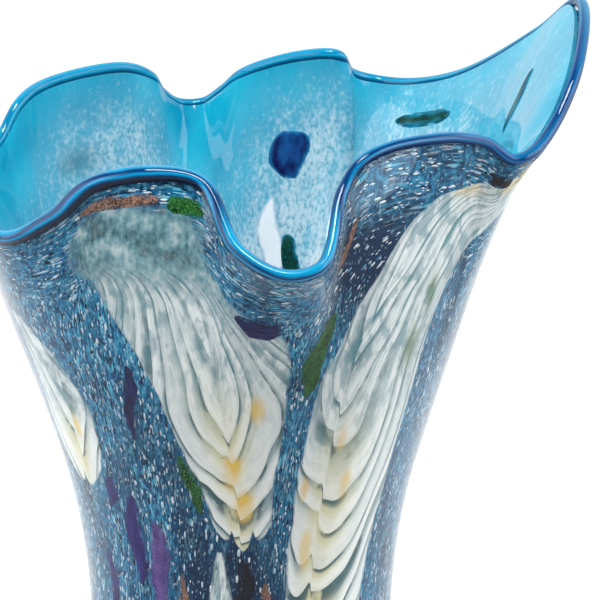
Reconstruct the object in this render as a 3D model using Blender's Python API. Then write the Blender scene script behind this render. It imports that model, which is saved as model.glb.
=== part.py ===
"""A hand blown glass vase with a ruffled lip pulled out into one tall ear.

The wall is three nested cups of glass (clear casing, speckled colour, turquoise lining).  Feather shards and
small chips sit in windows cut through the colour layer or the lining, and an azure wrap follows the lip.
Metres, +Z up, foot on z = 0, the vase's axis on x = y = 0.  Turns are degrees about +Z from +X.
"""

import math

import bmesh
import bpy
import numpy as np

MM = 0.001

# Outer skin of the body, before the lip is ruffled: radius at each named height.
FOOT_RADIUS = 50.0 * MM
HEEL_RADIUS = 61.0 * MM
HEEL_HEIGHT = 10.0 * MM
BELLY_RADIUS = 67.5 * MM
BELLY_HEIGHT = 45.0 * MM
WAIST_RADIUS = 59.5 * MM
WAIST_HEIGHT = 132.0 * MM
NECK_RADIUS = 65.5 * MM
NECK_HEIGHT = 188.0 * MM
FLARE_RADIUS = 90.0 * MM
FLARE_HEIGHT = 266.0 * MM
COLLAR_RADIUS = 98.5 * MM
LIP_RADIUS = 104.0 * MM
LIP_HEIGHT = 334.0 * MM
PER_CENT = LIP_HEIGHT / 100.0

# The collar stands this share of the way up from the flare to the lip.
COLLAR_SHARE = 0.47
COLLAR_HEIGHT = FLARE_HEIGHT + COLLAR_SHARE * (LIP_HEIGHT - FLARE_HEIGHT)

# Where the ruffle begins, and how late each part of it comes in on the way up to the lip.
RUFFLE_START = 205.0 * MM
RADIUS_POWER = 5.0
HEIGHT_POWER = 2.0

# The centre line of the lip wrap: turn in degrees, then how many mm it stands out beyond LIP_RADIUS and
# above LIP_HEIGHT.
LIP_STATIONS = [
    (-144.0, 4.0, -28.5),
    (-129.0, 0.0, -16.0),
    (-122.5, -4.0, -5.0),
    (-110.0, -8.5, 1.0),
    (-97.5, -11.0, -2.0),
    (-89.5, 4.0, -23.0),
    (-81.0, 12.0, -31.0),
    (-74.0, 11.0, -28.0),
    (-66.5, -6.0, -5.0),
    (-60.0, -7.5, 6.0),
    (-43.0, -2.0, 10.0),
    (-32.0, 5.0, 6.0),
    (-28.0, 12.0, -1.0),
    (-25.0, 17.0, 0.5),
    (-18.0, 21.5, 10.0),
    (-10.5, 26.5, 28.0),
    (8.0, 29.0, 46.0),
    (18.0, 20.0, 31.0),
    (38.5, 11.0, 8.0),
    (53.0, 11.0, 0.0),
    (61.5, 9.0, 0.0),
    (65.0, 0.0, 4.0),
    (65.5, -11.0, 13.0),
    (75.0, -12.5, 12.0),
    (89.5, -6.5, 3.5),
    (94.5, 2.0, -5.5),
    (98.5, 7.0, -11.5),
    (104.0, 7.5, -11.5),
    (108.5, 2.5, -5.5),
    (112.5, -4.5, 3.0),
    (121.0, -9.0, 8.5),
    (143.0, -6.0, 6.0),
    (152.5, -5.0, 1.0),
    (159.5, -2.0, -12.0),
    (172.0, 3.0, -21.0),
    (194.0, 6.0, -12.0),
]

# Thickness of each cup down the body; at the lip every cup is drawn out to LIP_THINNING of it.
CASING_THICKNESS = 2.0 * MM
SPECKLE_THICKNESS = 2.4 * MM
LINING_THICKNESS = 1.8 * MM
LIP_THINNING = 0.72
BASE_THICKNESS = 12.0 * MM

# Inside floor: how far above it the side wall begins to turn in, and how square that turn is.
FLOOR_RISE = 24.0 * MM
FLOOR_ROUNDNESS = 0.8
FLOOR_TURN_HEIGHT = BASE_THICKNESS + FLOOR_RISE

# The wrap of glass laid round the lip.
WRAP_RADIUS = 3.3 * MM
WRAP_SIDES = 8

# Clearance that stands for a fused boundary, how much of a cup's thickness a set-in piece fills, and how
# far a window's cutter runs past both faces of the cup.
GAP = 0.3 * MM
INSET_FILL = 0.3
WINDOW_OVERRUN = 2.0 * MM

# Facets: columns below the ruffle and twice as many in it; rows as shares of the way from the floor's turn
# to the ruffle, from the ruffle to the lip, and of the heel's height; angles of the rows round the floor.
LOWER_COLUMNS = 36
COLUMNS = 2 * LOWER_COLUMNS
LOWER_SHARES = [0.0, 0.23, 0.53, 0.8]
UPPER_SHARES = [0.0, 0.25, 0.46, 0.63, 0.77, 0.885]
HEEL_SHARES = [0.0, 0.3, 1.0, 2.0]
FLOOR_ANGLES = [60.0, 25.0]
SLOPE_STEP = 2.0 * MM
PROFILE_POINTS = 400
SHARP_ANGLE = 40.0

# A set-in plate's cell, the finer one for plates that reach up past FINE_LIFT of the ruffle, and the
# fewest rows that a feather has.
PLATE_CELL = 18.0 * MM
RUFFLED_CELL = 9.0 * MM
FINE_LIFT = 0.47
LEAST_ROWS = 5

# Feather shards by the turns of their two edges on the way up: per cent of the way to the lip, left, right.
FEATHERS = {
    "feather_front_left": [
        (55.7, -88.5, -83.5),
        (60.5, -98.0, -79.0),
        (66.5, -103.5, -77.8),
        (75.1, -112.0, -78.5),
        (83.5, -119.0, -81.5),
        (86.8, -121.5, -92.5),
        (92.5, -124.0, -97.0),
    ],
    "feather_front_right": [
        (40.1, -62.0, -48.0),
        (46.7, -71.0, -41.0),
        (61.4, -70.0, -34.5),
        (74.3, -66.5, -33.0),
        (81.7, -61.0, -30.5),
        (86.8, -58.0, -27.5),
        (90.1, -46.0, -25.0),
    ],
    "feather_left_side": [
        (57.8, -160.0, -155.0),
        (61.7, -163.0, -147.0),
        (65.3, -164.0, -138.0),
        (73.1, -164.0, -130.0),
        (80.2, -161.0, -131.5),
        (84.1, -157.0, -146.0),
    ],
    "feather_low_front": [
        (35.3, -98.0, -94.5),
        (41.9, -101.5, -91.5),
        (49.4, -100.0, -93.0),
        (54.2, -97.5, -94.5),
    ],
    "feather_back_right": [
        (44.9, 22.0, 30.0),
        (53.9, 15.0, 41.0),
        (67.4, 12.0, 44.0),
        (78.4, 18.0, 38.0),
    ],
    "feather_back": [
        (47.9, 94.0, 101.0),
        (57.5, 85.0, 111.0),
        (69.5, 84.0, 113.0),
        (79.0, 91.0, 107.0),
    ],
    "feather_back_left": [
        (41.3, 152.0, 160.0),
        (52.4, 145.0, 171.0),
        (66.5, 142.0, 174.0),
        (77.8, 150.0, 167.0),
    ],
    "feather_low_right": [
        (13.8, -34.0, -27.0),
        (22.5, -42.0, -18.0),
        (33.5, -38.0, -22.0),
        (37.4, -33.0, -27.0),
    ],
    "feather_low_left": [
        (15.6, -139.0, -132.0),
        (24.0, -147.0, -124.0),
        (36.5, -143.0, -127.0),
        (41.3, -138.0, -132.0),
    ],
    "feather_low_back": [
        (17.4, 66.0, 72.0),
        (26.9, 57.0, 81.0),
        (38.3, 61.0, 78.0),
        (42.5, 67.0, 73.0),
    ],
}

# A chip's rows as shares of its half height, and how much of its width is gone at its two tips, squared.
CHIP_ROWS = [-1.0, -0.5, 0.5, 1.0]
CHIP_TAPER = 0.88

# Chips set in the colour layer: turn, per cent of the way to the lip, tall mm, wide mm, lean in degrees.
OUTER_CHIPS = {
    "cobalt_chip_front": (-85.0, 88.0, 11.0, 12.0, 0.0),
    "cobalt_chip_left": (-119.5, 72.8, 30.0, 5.5, 3.0),
    "violet_chip_left": (-136.0, 60.8, 13.0, 4.5, 3.0),
    "violet_chip_mid": (-128.0, 55.4, 30.0, 4.5, 0.0),
    "violet_chip_low": (-143.5, 48.2, 22.0, 3.6, -2.0),
    "mauve_chip_left": (-119.6, 52.1, 34.0, 5.0, 0.0),
    "black_chip_front": (-88.2, 49.7, 24.0, 4.6, 0.0),
    "black_chip_notch": (-27.7, 94.6, 4.0, 8.0, 0.0),
    "green_chip_front": (-70.8, 80.2, 34.0, 5.6, 4.0),
    "green_chip_left": (-105.0, 63.0, 21.0, 4.4, -4.0),
    "green_chip_lip": (-101.5, 95.6, 4.4, 11.0, 0.0),
    "green_chip_low": (-64.0, 25.1, 26.0, 6.0, 3.0),
    "green_chip_back": (128.0, 67.4, 30.0, 6.0, -3.0),
    "cobalt_chip_back": (62.0, 71.9, 34.0, 6.0, 3.0),
    "violet_chip_back": (-172.0, 38.3, 30.0, 6.0, 0.0),
    "copper_streak_lip": (-115.5, 96.2, 4.0, 24.0, 0.0),
    "copper_streak_fold": (-64.5, 92.5, 12.0, 3.4, 0.0),
    "copper_streak_left": (-110.5, 47.9, 24.0, 3.6, 0.0),
    "copper_streak_low": (-80.0, 47.3, 26.0, 3.6, 0.0),
    "amber_streak_ear": (-20.0, 95.0, 4.0, 8.0, 0.0),
}

# Chips set in the lining, seen from inside: the same five numbers.
INNER_CHIPS = {
    "cobalt_dot_inside": (78.0, 89.2, 15.0, 14.0, 0.0),
    "white_patch_inside": (82.4, 80.0, 26.0, 7.0, 0.0),
    "green_fleck_inside": (76.2, 77.5, 12.0, 5.0, 0.0),
    "green_streak_inside": (46.0, 95.2, 4.4, 28.0, 0.0),
    "teal_streak_inside": (3.7, 93.1, 14.0, 4.4, 0.0),
}

# Colour and roughness of each kind of glass; the first word of a piece's name picks its kind.
GLASS = {
    "clear": ((0.86, 0.93, 0.95, 0.3), 0.04),
    "speckle": ((0.06, 0.16, 0.28, 1.0), 0.15),
    "aqua": ((0.05, 0.55, 0.62, 1.0), 0.08),
    "lip": ((0.03, 0.22, 0.62, 1.0), 0.05),
    "feather": ((0.84, 0.84, 0.76, 1.0), 0.12),
    "cobalt": ((0.02, 0.04, 0.42, 1.0), 0.08),
    "violet": ((0.16, 0.06, 0.36, 1.0), 0.08),
    "mauve": ((0.42, 0.28, 0.46, 1.0), 0.12),
    "black": ((0.01, 0.01, 0.015, 1.0), 0.06),
    "green": ((0.02, 0.22, 0.10, 1.0), 0.18),
    "copper": ((0.45, 0.20, 0.07, 1.0), 0.25),
    "amber": ((0.80, 0.52, 0.10, 1.0), 0.10),
    "white": ((0.90, 0.92, 0.90, 1.0), 0.15),
    "teal": ((0.01, 0.30, 0.32, 1.0), 0.10),
}


def smooth_path(stations, closed, count):
    """Points spread evenly over the parameter of a spline that passes through every station."""
    points = np.array(stations, dtype=float)
    if closed:
        points = np.vstack([points[-1:], points, points[:2]])
    else:
        points = np.vstack([2 * points[0] - points[1], points, 2 * points[-1] - points[-2]])
    steps = np.sqrt(np.linalg.norm(np.diff(points, axis=0), axis=1))
    knots = np.concatenate([[0.0], np.cumsum(steps)])
    at = np.linspace(knots[1], knots[-2], count, endpoint=not closed)
    span = np.clip(np.searchsorted(knots, at, side="right") - 1, 1, len(points) - 3)
    before, here, there, after = (points[span + k] for k in (-1, 0, 1, 2))
    k0, k1, k2 = (steps[span + k][:, None] for k in (-1, 0, 1))
    leave = ((here - before) / k0 - (there - before) / (k0 + k1) + (there - here) / k1) * k1
    arrive = ((there - here) / k1 - (after - here) / (k1 + k2) + (after - there) / k2) * k1
    t = ((at - knots[span]) / steps[span])[:, None]
    path = here + t * leave
    path += t**2 * (3 * (there - here) - 2 * leave - arrive)
    path += t**3 * (2 * (here - there) + leave + arrive)
    return path


PROFILE = smooth_path(
    [
        (FOOT_RADIUS, 0.0),
        (HEEL_RADIUS, HEEL_HEIGHT),
        (BELLY_RADIUS, BELLY_HEIGHT),
        (WAIST_RADIUS, WAIST_HEIGHT),
        (NECK_RADIUS, NECK_HEIGHT),
        (FLARE_RADIUS, FLARE_HEIGHT),
        (COLLAR_RADIUS, COLLAR_HEIGHT),
        (LIP_RADIUS, LIP_HEIGHT),
    ],
    False,
    PROFILE_POINTS,
)

LIP = smooth_path(
    [
        (
            (LIP_RADIUS + reach * MM) * math.cos(math.radians(turn)),
            (LIP_RADIUS + reach * MM) * math.sin(math.radians(turn)),
            LIP_HEIGHT + rise * MM,
        )
        for turn, reach, rise in LIP_STATIONS
    ],
    True,
    COLUMNS,
)
LIP_TURN = np.unwrap(np.arctan2(LIP[:, 1], LIP[:, 0]))
EVEN_TURN = np.arange(COLUMNS) * 2 * math.pi / COLUMNS
EVEN_TURN = EVEN_TURN + np.mean(LIP_TURN - EVEN_TURN)


def unit(vectors):
    return vectors / np.linalg.norm(vectors, axis=1)[:, None]


def lift_at(height):
    """How far the ruffle has come in at a height: 0 below it, 1 at the lip."""
    return float(np.clip((height - RUFFLE_START) / (LIP_HEIGHT - RUFFLE_START), 0.0, 1.0))


def skin(height):
    """One point per column of the wall's guiding surface, at a height of the unruffled body."""
    lift = lift_at(height)
    part = height / LIP_HEIGHT
    turn = EVEN_TURN + (LIP_TURN - EVEN_TURN) * part * part * (3 - 2 * part)
    radius = np.interp(height, PROFILE[:, 1], PROFILE[:, 0])
    radius = radius + (np.hypot(LIP[:, 0], LIP[:, 1]) - LIP_RADIUS) * lift**RADIUS_POWER
    rise = height + (LIP[:, 2] - LIP_HEIGHT) * lift**HEIGHT_POWER
    return np.stack([radius * np.cos(turn), radius * np.sin(turn), rise], axis=1)


def outward(height):
    """The wall's outward direction at each column."""
    up = skin(min(height + SLOPE_STEP, LIP_HEIGHT)) - skin(max(height - SLOPE_STEP, 0.0))
    ring = skin(height)
    along = np.roll(ring, -1, axis=0) - np.roll(ring, 1, axis=0)
    return unit(np.cross(along, up))


def depth_at(face, height):
    """Depth of one of the six glass faces below the skin: 0 casing outside ... 5 lining inside."""
    thinning = 1.0 - (1.0 - LIP_THINNING) * lift_at(height) ** 2
    layers = [CASING_THICKNESS, SPECKLE_THICKNESS, LINING_THICKNESS]
    return thinning * sum(layers[: (face + 1) // 2]) + GAP * (face // 2)


def inset_from(depth, height):
    """Distance to move in from the guiding surface, which the wall straddles under the lip wrap."""
    return depth - 0.5 * depth_at(5, height) * lift_at(height) ** 3


def wall_ring(height, depth):
    return skin(height) - outward(height) * inset_from(depth, height)


def lip_frame():
    """At each column of the lip: outward across the wall, and up across the lip, both square to its run."""
    out = outward(LIP_HEIGHT)
    run = unit(np.roll(LIP, -1, axis=0) - np.roll(LIP, 1, axis=0))
    return out, np.cross(out, run)


def lip_ring(depth):
    """The top edge of a cup, just clear of the lip wrap."""
    out, up = lip_frame()
    seat = LIP - up * (WRAP_RADIUS + GAP)
    return seat - out * inset_from(depth, LIP_HEIGHT)


def wall_rows():
    """Heights of the rows that every glass face has, from the floor's turn up."""
    lower = [FLOOR_TURN_HEIGHT + k * (RUFFLE_START - FLOOR_TURN_HEIGHT) for k in LOWER_SHARES]
    upper = [RUFFLE_START + k * (LIP_HEIGHT - RUFFLE_START) for k in UPPER_SHARES]
    return lower + upper


def face_rings(face):
    """Rings of the wall part of one glass face, from the floor's turn up to the lip."""
    heights = wall_rows()
    if face == 0:
        halfway = [(low + high) / 2 for low, high in zip(heights, heights[1:]) if low <= RUFFLE_START]
        heights = sorted(heights + halfway)
    rings = []
    for height in heights:
        ring = wall_ring(height, depth_at(face, height))
        rings.append(ring if height >= RUFFLE_START else ring[::2])
    rings.append(lip_ring(depth_at(face, LIP_HEIGHT)))
    return rings


def floor_rings(face):
    """Rings of the rounded floor of one glass face, from its centre out to the side wall."""
    edge = wall_ring(FLOOR_TURN_HEIGHT, depth_at(face, FLOOR_TURN_HEIGHT))[::2]
    bottom = BASE_THICKNESS + depth_at(face, 0.0) - CASING_THICKNESS
    rings = [np.array([[0.0, 0.0, bottom]])]
    for angle in FLOOR_ANGLES:
        reach = math.cos(math.radians(angle)) ** FLOOR_ROUNDNESS
        drop = math.sin(math.radians(angle)) ** FLOOR_ROUNDNESS
        ring = edge * np.array([reach, reach, 1.0])
        ring[:, 2] += (bottom - ring[:, 2]) * drop
        rings.append(ring)
    return rings


def foot_rings():
    """Rings of the outside of the foot, from the middle of the ground flat up the heel."""
    rings = [np.zeros((1, 3))]
    for share in HEEL_SHARES:
        rings.append(skin(share * HEEL_HEIGHT)[::2])
    return rings


def weave(bm, first, second):
    """Triangles between two rings of vertices with equal counts, one against two, or one point."""
    few, many = sorted((first, second), key=lambda ring: (len(ring), ring[0].co.z))
    n = len(few)
    m = len(many)
    for k in range(n):
        a, b = few[k], few[(k + 1) % n]
        if n == m:
            c, d = many[(k + 1) % m], many[k]
            bm.faces.new((a, b, c))
            bm.faces.new((a, c, d))
        elif n > 1:
            c, d, e = many[2 * k], many[2 * k + 1], many[(2 * k + 2) % m]
            bm.faces.new((a, d, c))
            bm.faces.new((a, b, d))
            bm.faces.new((b, e, d))
    if n == 1:
        for k in range(m):
            bm.faces.new((few[0], many[k], many[(k + 1) % m]))


def glass_material(name):
    colour, roughness = GLASS[name.split("_")[0]]
    material = bpy.data.materials.new(name + "_glass")
    material.use_nodes = True
    shader = material.node_tree.nodes["Principled BSDF"]
    shader.inputs["Base Color"].default_value = colour[:3] + (1.0,)
    shader.inputs["Alpha"].default_value = colour[3]
    shader.inputs["Roughness"].default_value = roughness
    shader.inputs["Metallic"].default_value = 0.0
    return material


def finish(bm, name, cutter=False):
    """Turn a closed bmesh into a named object: a visible piece, or a hidden cutter."""
    bmesh.ops.recalc_face_normals(bm, faces=bm.faces)
    mesh = bpy.data.meshes.new(name)
    bm.to_mesh(mesh)
    bm.free()
    thing = bpy.data.objects.new(name, mesh)
    bpy.context.scene.collection.objects.link(thing)
    thing.parent = vase
    if cutter:
        thing.hide_render = True
        thing.display_type = "WIRE"
        return thing
    mesh.materials.append(glass_material(name))
    mesh.polygons.foreach_set("use_smooth", [True] * len(mesh.polygons))
    mesh.set_sharp_from_angle(angle=math.radians(SHARP_ANGLE))
    return thing


def cup(name, rings):
    """A closed cup from a run of rings that goes up its outside and down its inside."""
    bm = bmesh.new()
    loops = [[bm.verts.new(p) for p in ring] for ring in rings]
    for lower, upper in zip(loops, loops[1:]):
        weave(bm, lower, upper)
    return finish(bm, name)


def lip_wrap():
    bm = bmesh.new()
    out, up = lip_frame()
    loops = []
    for k in range(COLUMNS):
        ring = []
        for side in range(WRAP_SIDES):
            angle = 2 * math.pi * (side + 0.5) / WRAP_SIDES
            ring.append(LIP[k] + WRAP_RADIUS * (math.cos(angle) * out[k] + math.sin(angle) * up[k]))
        loops.append([bm.verts.new(p) for p in ring])
    for k in range(COLUMNS):
        weave(bm, loops[k], loops[(k + 1) % COLUMNS])
    return finish(bm, "lip_wrap")


def wall_point(turn, height, face, share):
    """A point inside one cup: share 0 on the face given, 1 on the next face in, along its flat facets."""
    rows = wall_rows()
    k = int(np.clip(np.searchsorted(rows, height) - 1, 0, len(rows) - 2))
    t = (height - rows[k]) / (rows[k + 1] - rows[k])
    rings = []
    for row in rows[k : k + 2]:
        depth = (1 - share) * depth_at(face, row) + share * depth_at(face + 1, row)
        rings.append(wall_ring(row, depth))
    turns = [np.unwrap(np.arctan2(ring[:, 1], ring[:, 0])) for ring in rings]
    turns = np.maximum.accumulate(turns[0] * (1 - t) + turns[1] * t)
    turns = np.append(turns, turns[0] + 2 * math.pi)
    place = turns[0] + (turn - turns[0]) % (2 * math.pi)
    column = np.interp(place, turns, np.arange(COLUMNS + 1))
    j = int(column) % COLUMNS
    across = column % 1.0
    a, b = rings[0][j], rings[0][(j + 1) % COLUMNS]
    d, c = rings[1][j], rings[1][(j + 1) % COLUMNS]
    if t <= across:
        return a + across * (b - a) + t * (c - b)
    return a + t * (d - a) + across * (c - d)


def cell_size(top):
    return RUFFLED_CELL if lift_at(top) > FINE_LIFT else PLATE_CELL


def plate(name, rows, face, grow, shares):
    """A curved plate that lies in a cup between two edges, given row by row as height and two turns."""
    middle = rows[len(rows) // 2]
    reach = np.linalg.norm(wall_point(middle[1], middle[0], face, 0.5)[:2])
    widest = max(right - left for _, left, right in rows) * reach
    cells = math.ceil(widest / cell_size(rows[-1][0]))
    bm = bmesh.new()
    sheets = []
    for share in shares:
        sheet = []
        for k, (height, left, right) in enumerate(rows):
            if k == 0:
                height -= grow
            if k == len(rows) - 1:
                height += grow
            turns = np.linspace(left - grow / reach, right + grow / reach, cells + 1)
            sheet.append([bm.verts.new(wall_point(a, height, face, share)) for a in turns])
        sheets.append(sheet)
    for sheet in sheets:
        for low, high in zip(sheet, sheet[1:]):
            for c in range(cells):
                bm.faces.new((low[c], low[c + 1], high[c + 1]))
                bm.faces.new((low[c], high[c + 1], high[c]))
    borders = []
    for sheet in sheets:
        border = sheet[0] + [row[-1] for row in sheet[1:]]
        border += sheet[-1][-2::-1] + [row[0] for row in sheet[-2:0:-1]]
        borders.append(border)
    weave(bm, borders[0], borders[1])
    return finish(bm, name, cutter=grow > 0.0)


def feather_rows(stations):
    tall = (stations[-1][0] - stations[0][0]) * PER_CENT
    count = max(LEAST_ROWS, math.ceil(tall / cell_size(stations[-1][0] * PER_CENT)) + 1)
    rows = smooth_path(stations, False, count)
    return [(way * PER_CENT, math.radians(left), math.radians(right)) for way, left, right in rows]


def chip_rows(turn, way, tall, wide, lean):
    height = way * PER_CENT
    middle = wall_point(math.radians(turn), height, 2, 0.5)
    reach = np.linalg.norm(middle[:2])
    rows = []
    for s in CHIP_ROWS:
        half = 0.5 * wide * MM / reach * math.sqrt(1.0 - CHIP_TAPER * s * s)
        centre = math.radians(turn + 0.5 * lean * s)
        rows.append((height + 0.5 * tall * MM * s, centre - half, centre + half))
    return rows


def set_in(cup_object, name, rows, face):
    """Seat one plate in a window cut right through a cup."""
    through = WINDOW_OVERRUN / (depth_at(face + 1, LIP_HEIGHT) - depth_at(face, LIP_HEIGHT))
    window = plate(name + "_window", rows, face, GAP, (-through, 1.0 + through))
    cut = cup_object.modifiers.new(name + "_window", "BOOLEAN")
    cut.operation = "DIFFERENCE"
    cut.solver = "EXACT"
    cut.object = window
    margin = 0.5 * (1.0 - INSET_FILL)
    plate(name, rows, face, 0.0, (margin, 1.0 - margin))


for old in list(bpy.data.objects):
    bpy.data.objects.remove(old, do_unlink=True)

vase = bpy.data.objects.new("vase", None)
bpy.context.scene.collection.objects.link(vase)

cup("clear_casing", foot_rings() + face_rings(0) + (floor_rings(1) + face_rings(1))[::-1])
speckle = cup("speckle_layer", floor_rings(2) + face_rings(2) + (floor_rings(3) + face_rings(3))[::-1])
lining = cup("aqua_lining", floor_rings(4) + face_rings(4) + (floor_rings(5) + face_rings(5))[::-1])
lip_wrap()

for name, stations in FEATHERS.items():
    set_in(speckle, name, feather_rows(stations), 2)
for name, chip in OUTER_CHIPS.items():
    set_in(speckle, name, chip_rows(*chip), 2)
for name, chip in INNER_CHIPS.items():
    set_in(lining, name, chip_rows(*chip), 4)
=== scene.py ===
# %% [markdown]
# # A blown glass vase with a ruffled lip
# A glassblower gathers clear glass, rolls it over coloured grains and shards, blows it out, and pulls the
# hot lip into folds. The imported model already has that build: three nested cups, a wrap on the lip, and
# shards and chips set in the wall. This lesson gives each of those pieces its fine surface and its finish.
# No mesh of it is copied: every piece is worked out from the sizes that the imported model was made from, with
# finer outlines.

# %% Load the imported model
import math

import bpy
import numpy as np
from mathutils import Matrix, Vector


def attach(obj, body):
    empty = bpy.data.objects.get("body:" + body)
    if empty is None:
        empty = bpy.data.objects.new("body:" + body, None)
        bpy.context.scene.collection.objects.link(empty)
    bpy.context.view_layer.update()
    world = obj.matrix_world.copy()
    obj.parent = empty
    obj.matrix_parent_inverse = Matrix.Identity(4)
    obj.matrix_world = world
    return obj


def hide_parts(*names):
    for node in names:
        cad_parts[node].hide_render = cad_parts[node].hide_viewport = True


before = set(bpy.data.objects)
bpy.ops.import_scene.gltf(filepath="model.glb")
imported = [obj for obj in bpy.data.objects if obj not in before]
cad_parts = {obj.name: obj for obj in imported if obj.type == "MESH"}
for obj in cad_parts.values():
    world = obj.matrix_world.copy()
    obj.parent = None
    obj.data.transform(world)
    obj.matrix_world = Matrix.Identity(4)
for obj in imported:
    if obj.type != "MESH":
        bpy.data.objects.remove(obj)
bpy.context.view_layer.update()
MM = 0.001
print("packed nodes:", len(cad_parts))

# %% [markdown]
# ## Small helpers for node trees
# Every finish below is a tree of nodes. Written out in full, each node takes three or four lines, so
# helpers come first: one adds any node and links or sets its sockets, some do arithmetic with numbers and
# colours, and some lay out patterns in millimetres. The finishes then read almost like sentences.


# %% Helpers for numbers and colours
def add(tree, kind, sockets=None, **settings):
    """Add a node; each socket is given a value, or a link when it is given another node's output."""
    made = tree.nodes.new(kind)
    for key, value in settings.items():
        setattr(made, key, value)
    for key, value in (sockets or {}).items():
        if isinstance(value, bpy.types.NodeSocket):
            tree.links.new(value, made.inputs[key])
        else:
            made.inputs[key].default_value = value
    return made


def maths(tree, operation, *values):
    return add(tree, "ShaderNodeMath", dict(enumerate(values)), operation=operation).outputs[0]


def times(tree, first, second):
    return maths(tree, "MULTIPLY", first, second)


def scaled(tree, value, factor, start):
    """A value times a factor, counted from a start."""
    return maths(tree, "MULTIPLY_ADD", value, factor, start)


def swung(tree, pattern, reach, middle):
    """A middle that a pattern between 0 and 1 swings up and down."""
    return scaled(tree, maths(tree, "SUBTRACT", pattern, 0.5), reach, middle)


def ease(tree, value, low, high):
    """0 below low, 1 above high, and a soft step between; low may be the larger one."""
    sockets = {"Value": value, "From Min": low, "From Max": high}
    return add(tree, "ShaderNodeMapRange", sockets, interpolation_type="SMOOTHSTEP").outputs["Result"]


def opaque(colour):
    """A colour with full cover; the output of a node stays as it is."""
    return (*colour, 1.0) if isinstance(colour, tuple) else colour


def mix(tree, share, first, second):
    sockets = {0: share, 6: opaque(first), 7: opaque(second)}
    return add(tree, "ShaderNodeMix", sockets, data_type="RGBA").outputs[2]


def ramp(tree, value, stops, interpolation="LINEAR"):
    """A colour ramp from (place, red, green, blue) stops."""
    made = add(tree, "ShaderNodeValToRGB", {"Fac": value})
    scale = made.color_ramp
    scale.interpolation = interpolation
    while len(scale.elements) < len(stops):
        scale.elements.new(1.0)
    for element, (place, *colour) in zip(scale.elements, stops):
        element.position = place
        element.color = (*colour, 1.0)
    return made.outputs["Color"]


print("helpers for numbers and colours are ready")


# %% Helpers for places, patterns and materials
def attribute(tree, name, output="Fac"):
    return add(tree, "ShaderNodeAttribute", attribute_name=name).outputs[output]


def axes(tree, place):
    return add(tree, "ShaderNodeSeparateXYZ", {"Vector": place}).outputs


def stretched(tree, place, size):
    """A place in metres counted in cells of the given size in mm."""
    sockets = {"Vector": place, "Scale": tuple(1.0 / (length * MM) for length in size)}
    return add(tree, "ShaderNodeMapping", sockets).outputs["Vector"]


def noise(tree, place, size, detail=2.0):
    sockets = {"Vector": stretched(tree, place, size), "Scale": 1.0, "Detail": detail}
    return add(tree, "ShaderNodeTexNoise", sockets).outputs["Fac"]


def cell_numbers(tree, place, size):
    """A pattern of cells, each of which has a number from 0 to 1 of its own."""
    sockets = {"Vector": stretched(tree, place, size), "Scale": 1.0}
    made = add(tree, "ShaderNodeTexVoronoi", sockets)
    return add(tree, "ShaderNodeSeparateColor", {"Color": made.outputs["Color"]}).outputs["Red"]


def new_material(name, colour_of=None, **sockets):
    """A material with one Principled shader: its sockets by name, and a function that paints its colour."""
    material = bpy.data.materials.new(name)
    material.use_nodes = True
    tree = material.node_tree
    shader = tree.nodes["Principled BSDF"]
    for key, value in sockets.items():
        shader.inputs[key.replace("_", " ")].default_value = value
    if colour_of:
        tree.links.new(colour_of(tree), shader.inputs["Base Color"])
    return material


print("helpers for places, patterns and materials are ready")

# %% [markdown]
# ## The studio
# A glass vase is lit by what it reflects. Two tall soft boxes stand at its sides, so that the front of the
# body stays deep in colour between two pale veils, and a third hangs over it and draws the fine lines on
# the lip. The floor is pale and diffuse and keeps the vase's shadow. A glow that only the camera, mirror
# and glass rays see brings it up to white. For mirror and glass rays, floor and walls are dim on the near
# side, as a studio is behind its lamps.

# %% Camera
LOOK_AT = (0.0234, 0.0, 0.2655)
CAMERA_DISTANCE = 1.5
CAMERA_RISE = math.radians(14.0)
CAMERA_LENS = 230.77
SENSOR_WIDTH = 36.0

scene = bpy.context.scene
scene.view_settings.view_transform = "Standard"

camera = bpy.data.objects.new("camera", bpy.data.cameras.new("camera"))
camera.data.sensor_width = SENSOR_WIDTH
camera.data.lens = CAMERA_LENS
camera.rotation_euler = (math.pi / 2 - CAMERA_RISE, 0.0, 0.0)
camera.location = (
    LOOK_AT[0],
    LOOK_AT[1] - CAMERA_DISTANCE * math.cos(CAMERA_RISE),
    LOOK_AT[2] + CAMERA_DISTANCE * math.sin(CAMERA_RISE),
)
scene.collection.objects.link(camera)
scene.camera = camera
print("camera at", [round(value, 3) for value in camera.location])

# %% Floor and world
FLOOR_REACH = 8.0
FLOOR_DROP = 0.2 * MM
FLOOR_GREY = 0.50
FLOOR_GLOW = 0.80
# Where the near side ends and the far side begins: metres on the floor, and a direction for the walls.
FLOOR_FADE = (-0.25, 0.2)
WALL_FADE = (-0.2, 0.6)
ROOM_LIGHT = 0.42
DARK_SIDE = 0.15


def seen_directly(tree):
    """1 for a ray from the camera, a mirror or glass, and 0 for one that carries soft light."""
    rays = add(tree, "ShaderNodeLightPath").outputs
    seen = maths(tree, "MAXIMUM", rays["Is Camera Ray"], rays["Is Glossy Ray"])
    return maths(tree, "MAXIMUM", seen, rays["Is Transmission Ray"])


def far_side(tree, coordinates, fade):
    """0 on the near side and 1 on the far side."""
    place = add(tree, "ShaderNodeTexCoord").outputs[coordinates]
    return ease(tree, axes(tree, place)["Y"], *fade)


def at_least_for_camera(tree, value):
    return maths(tree, "MAXIMUM", value, add(tree, "ShaderNodeLightPath").outputs["Is Camera Ray"])


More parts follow.
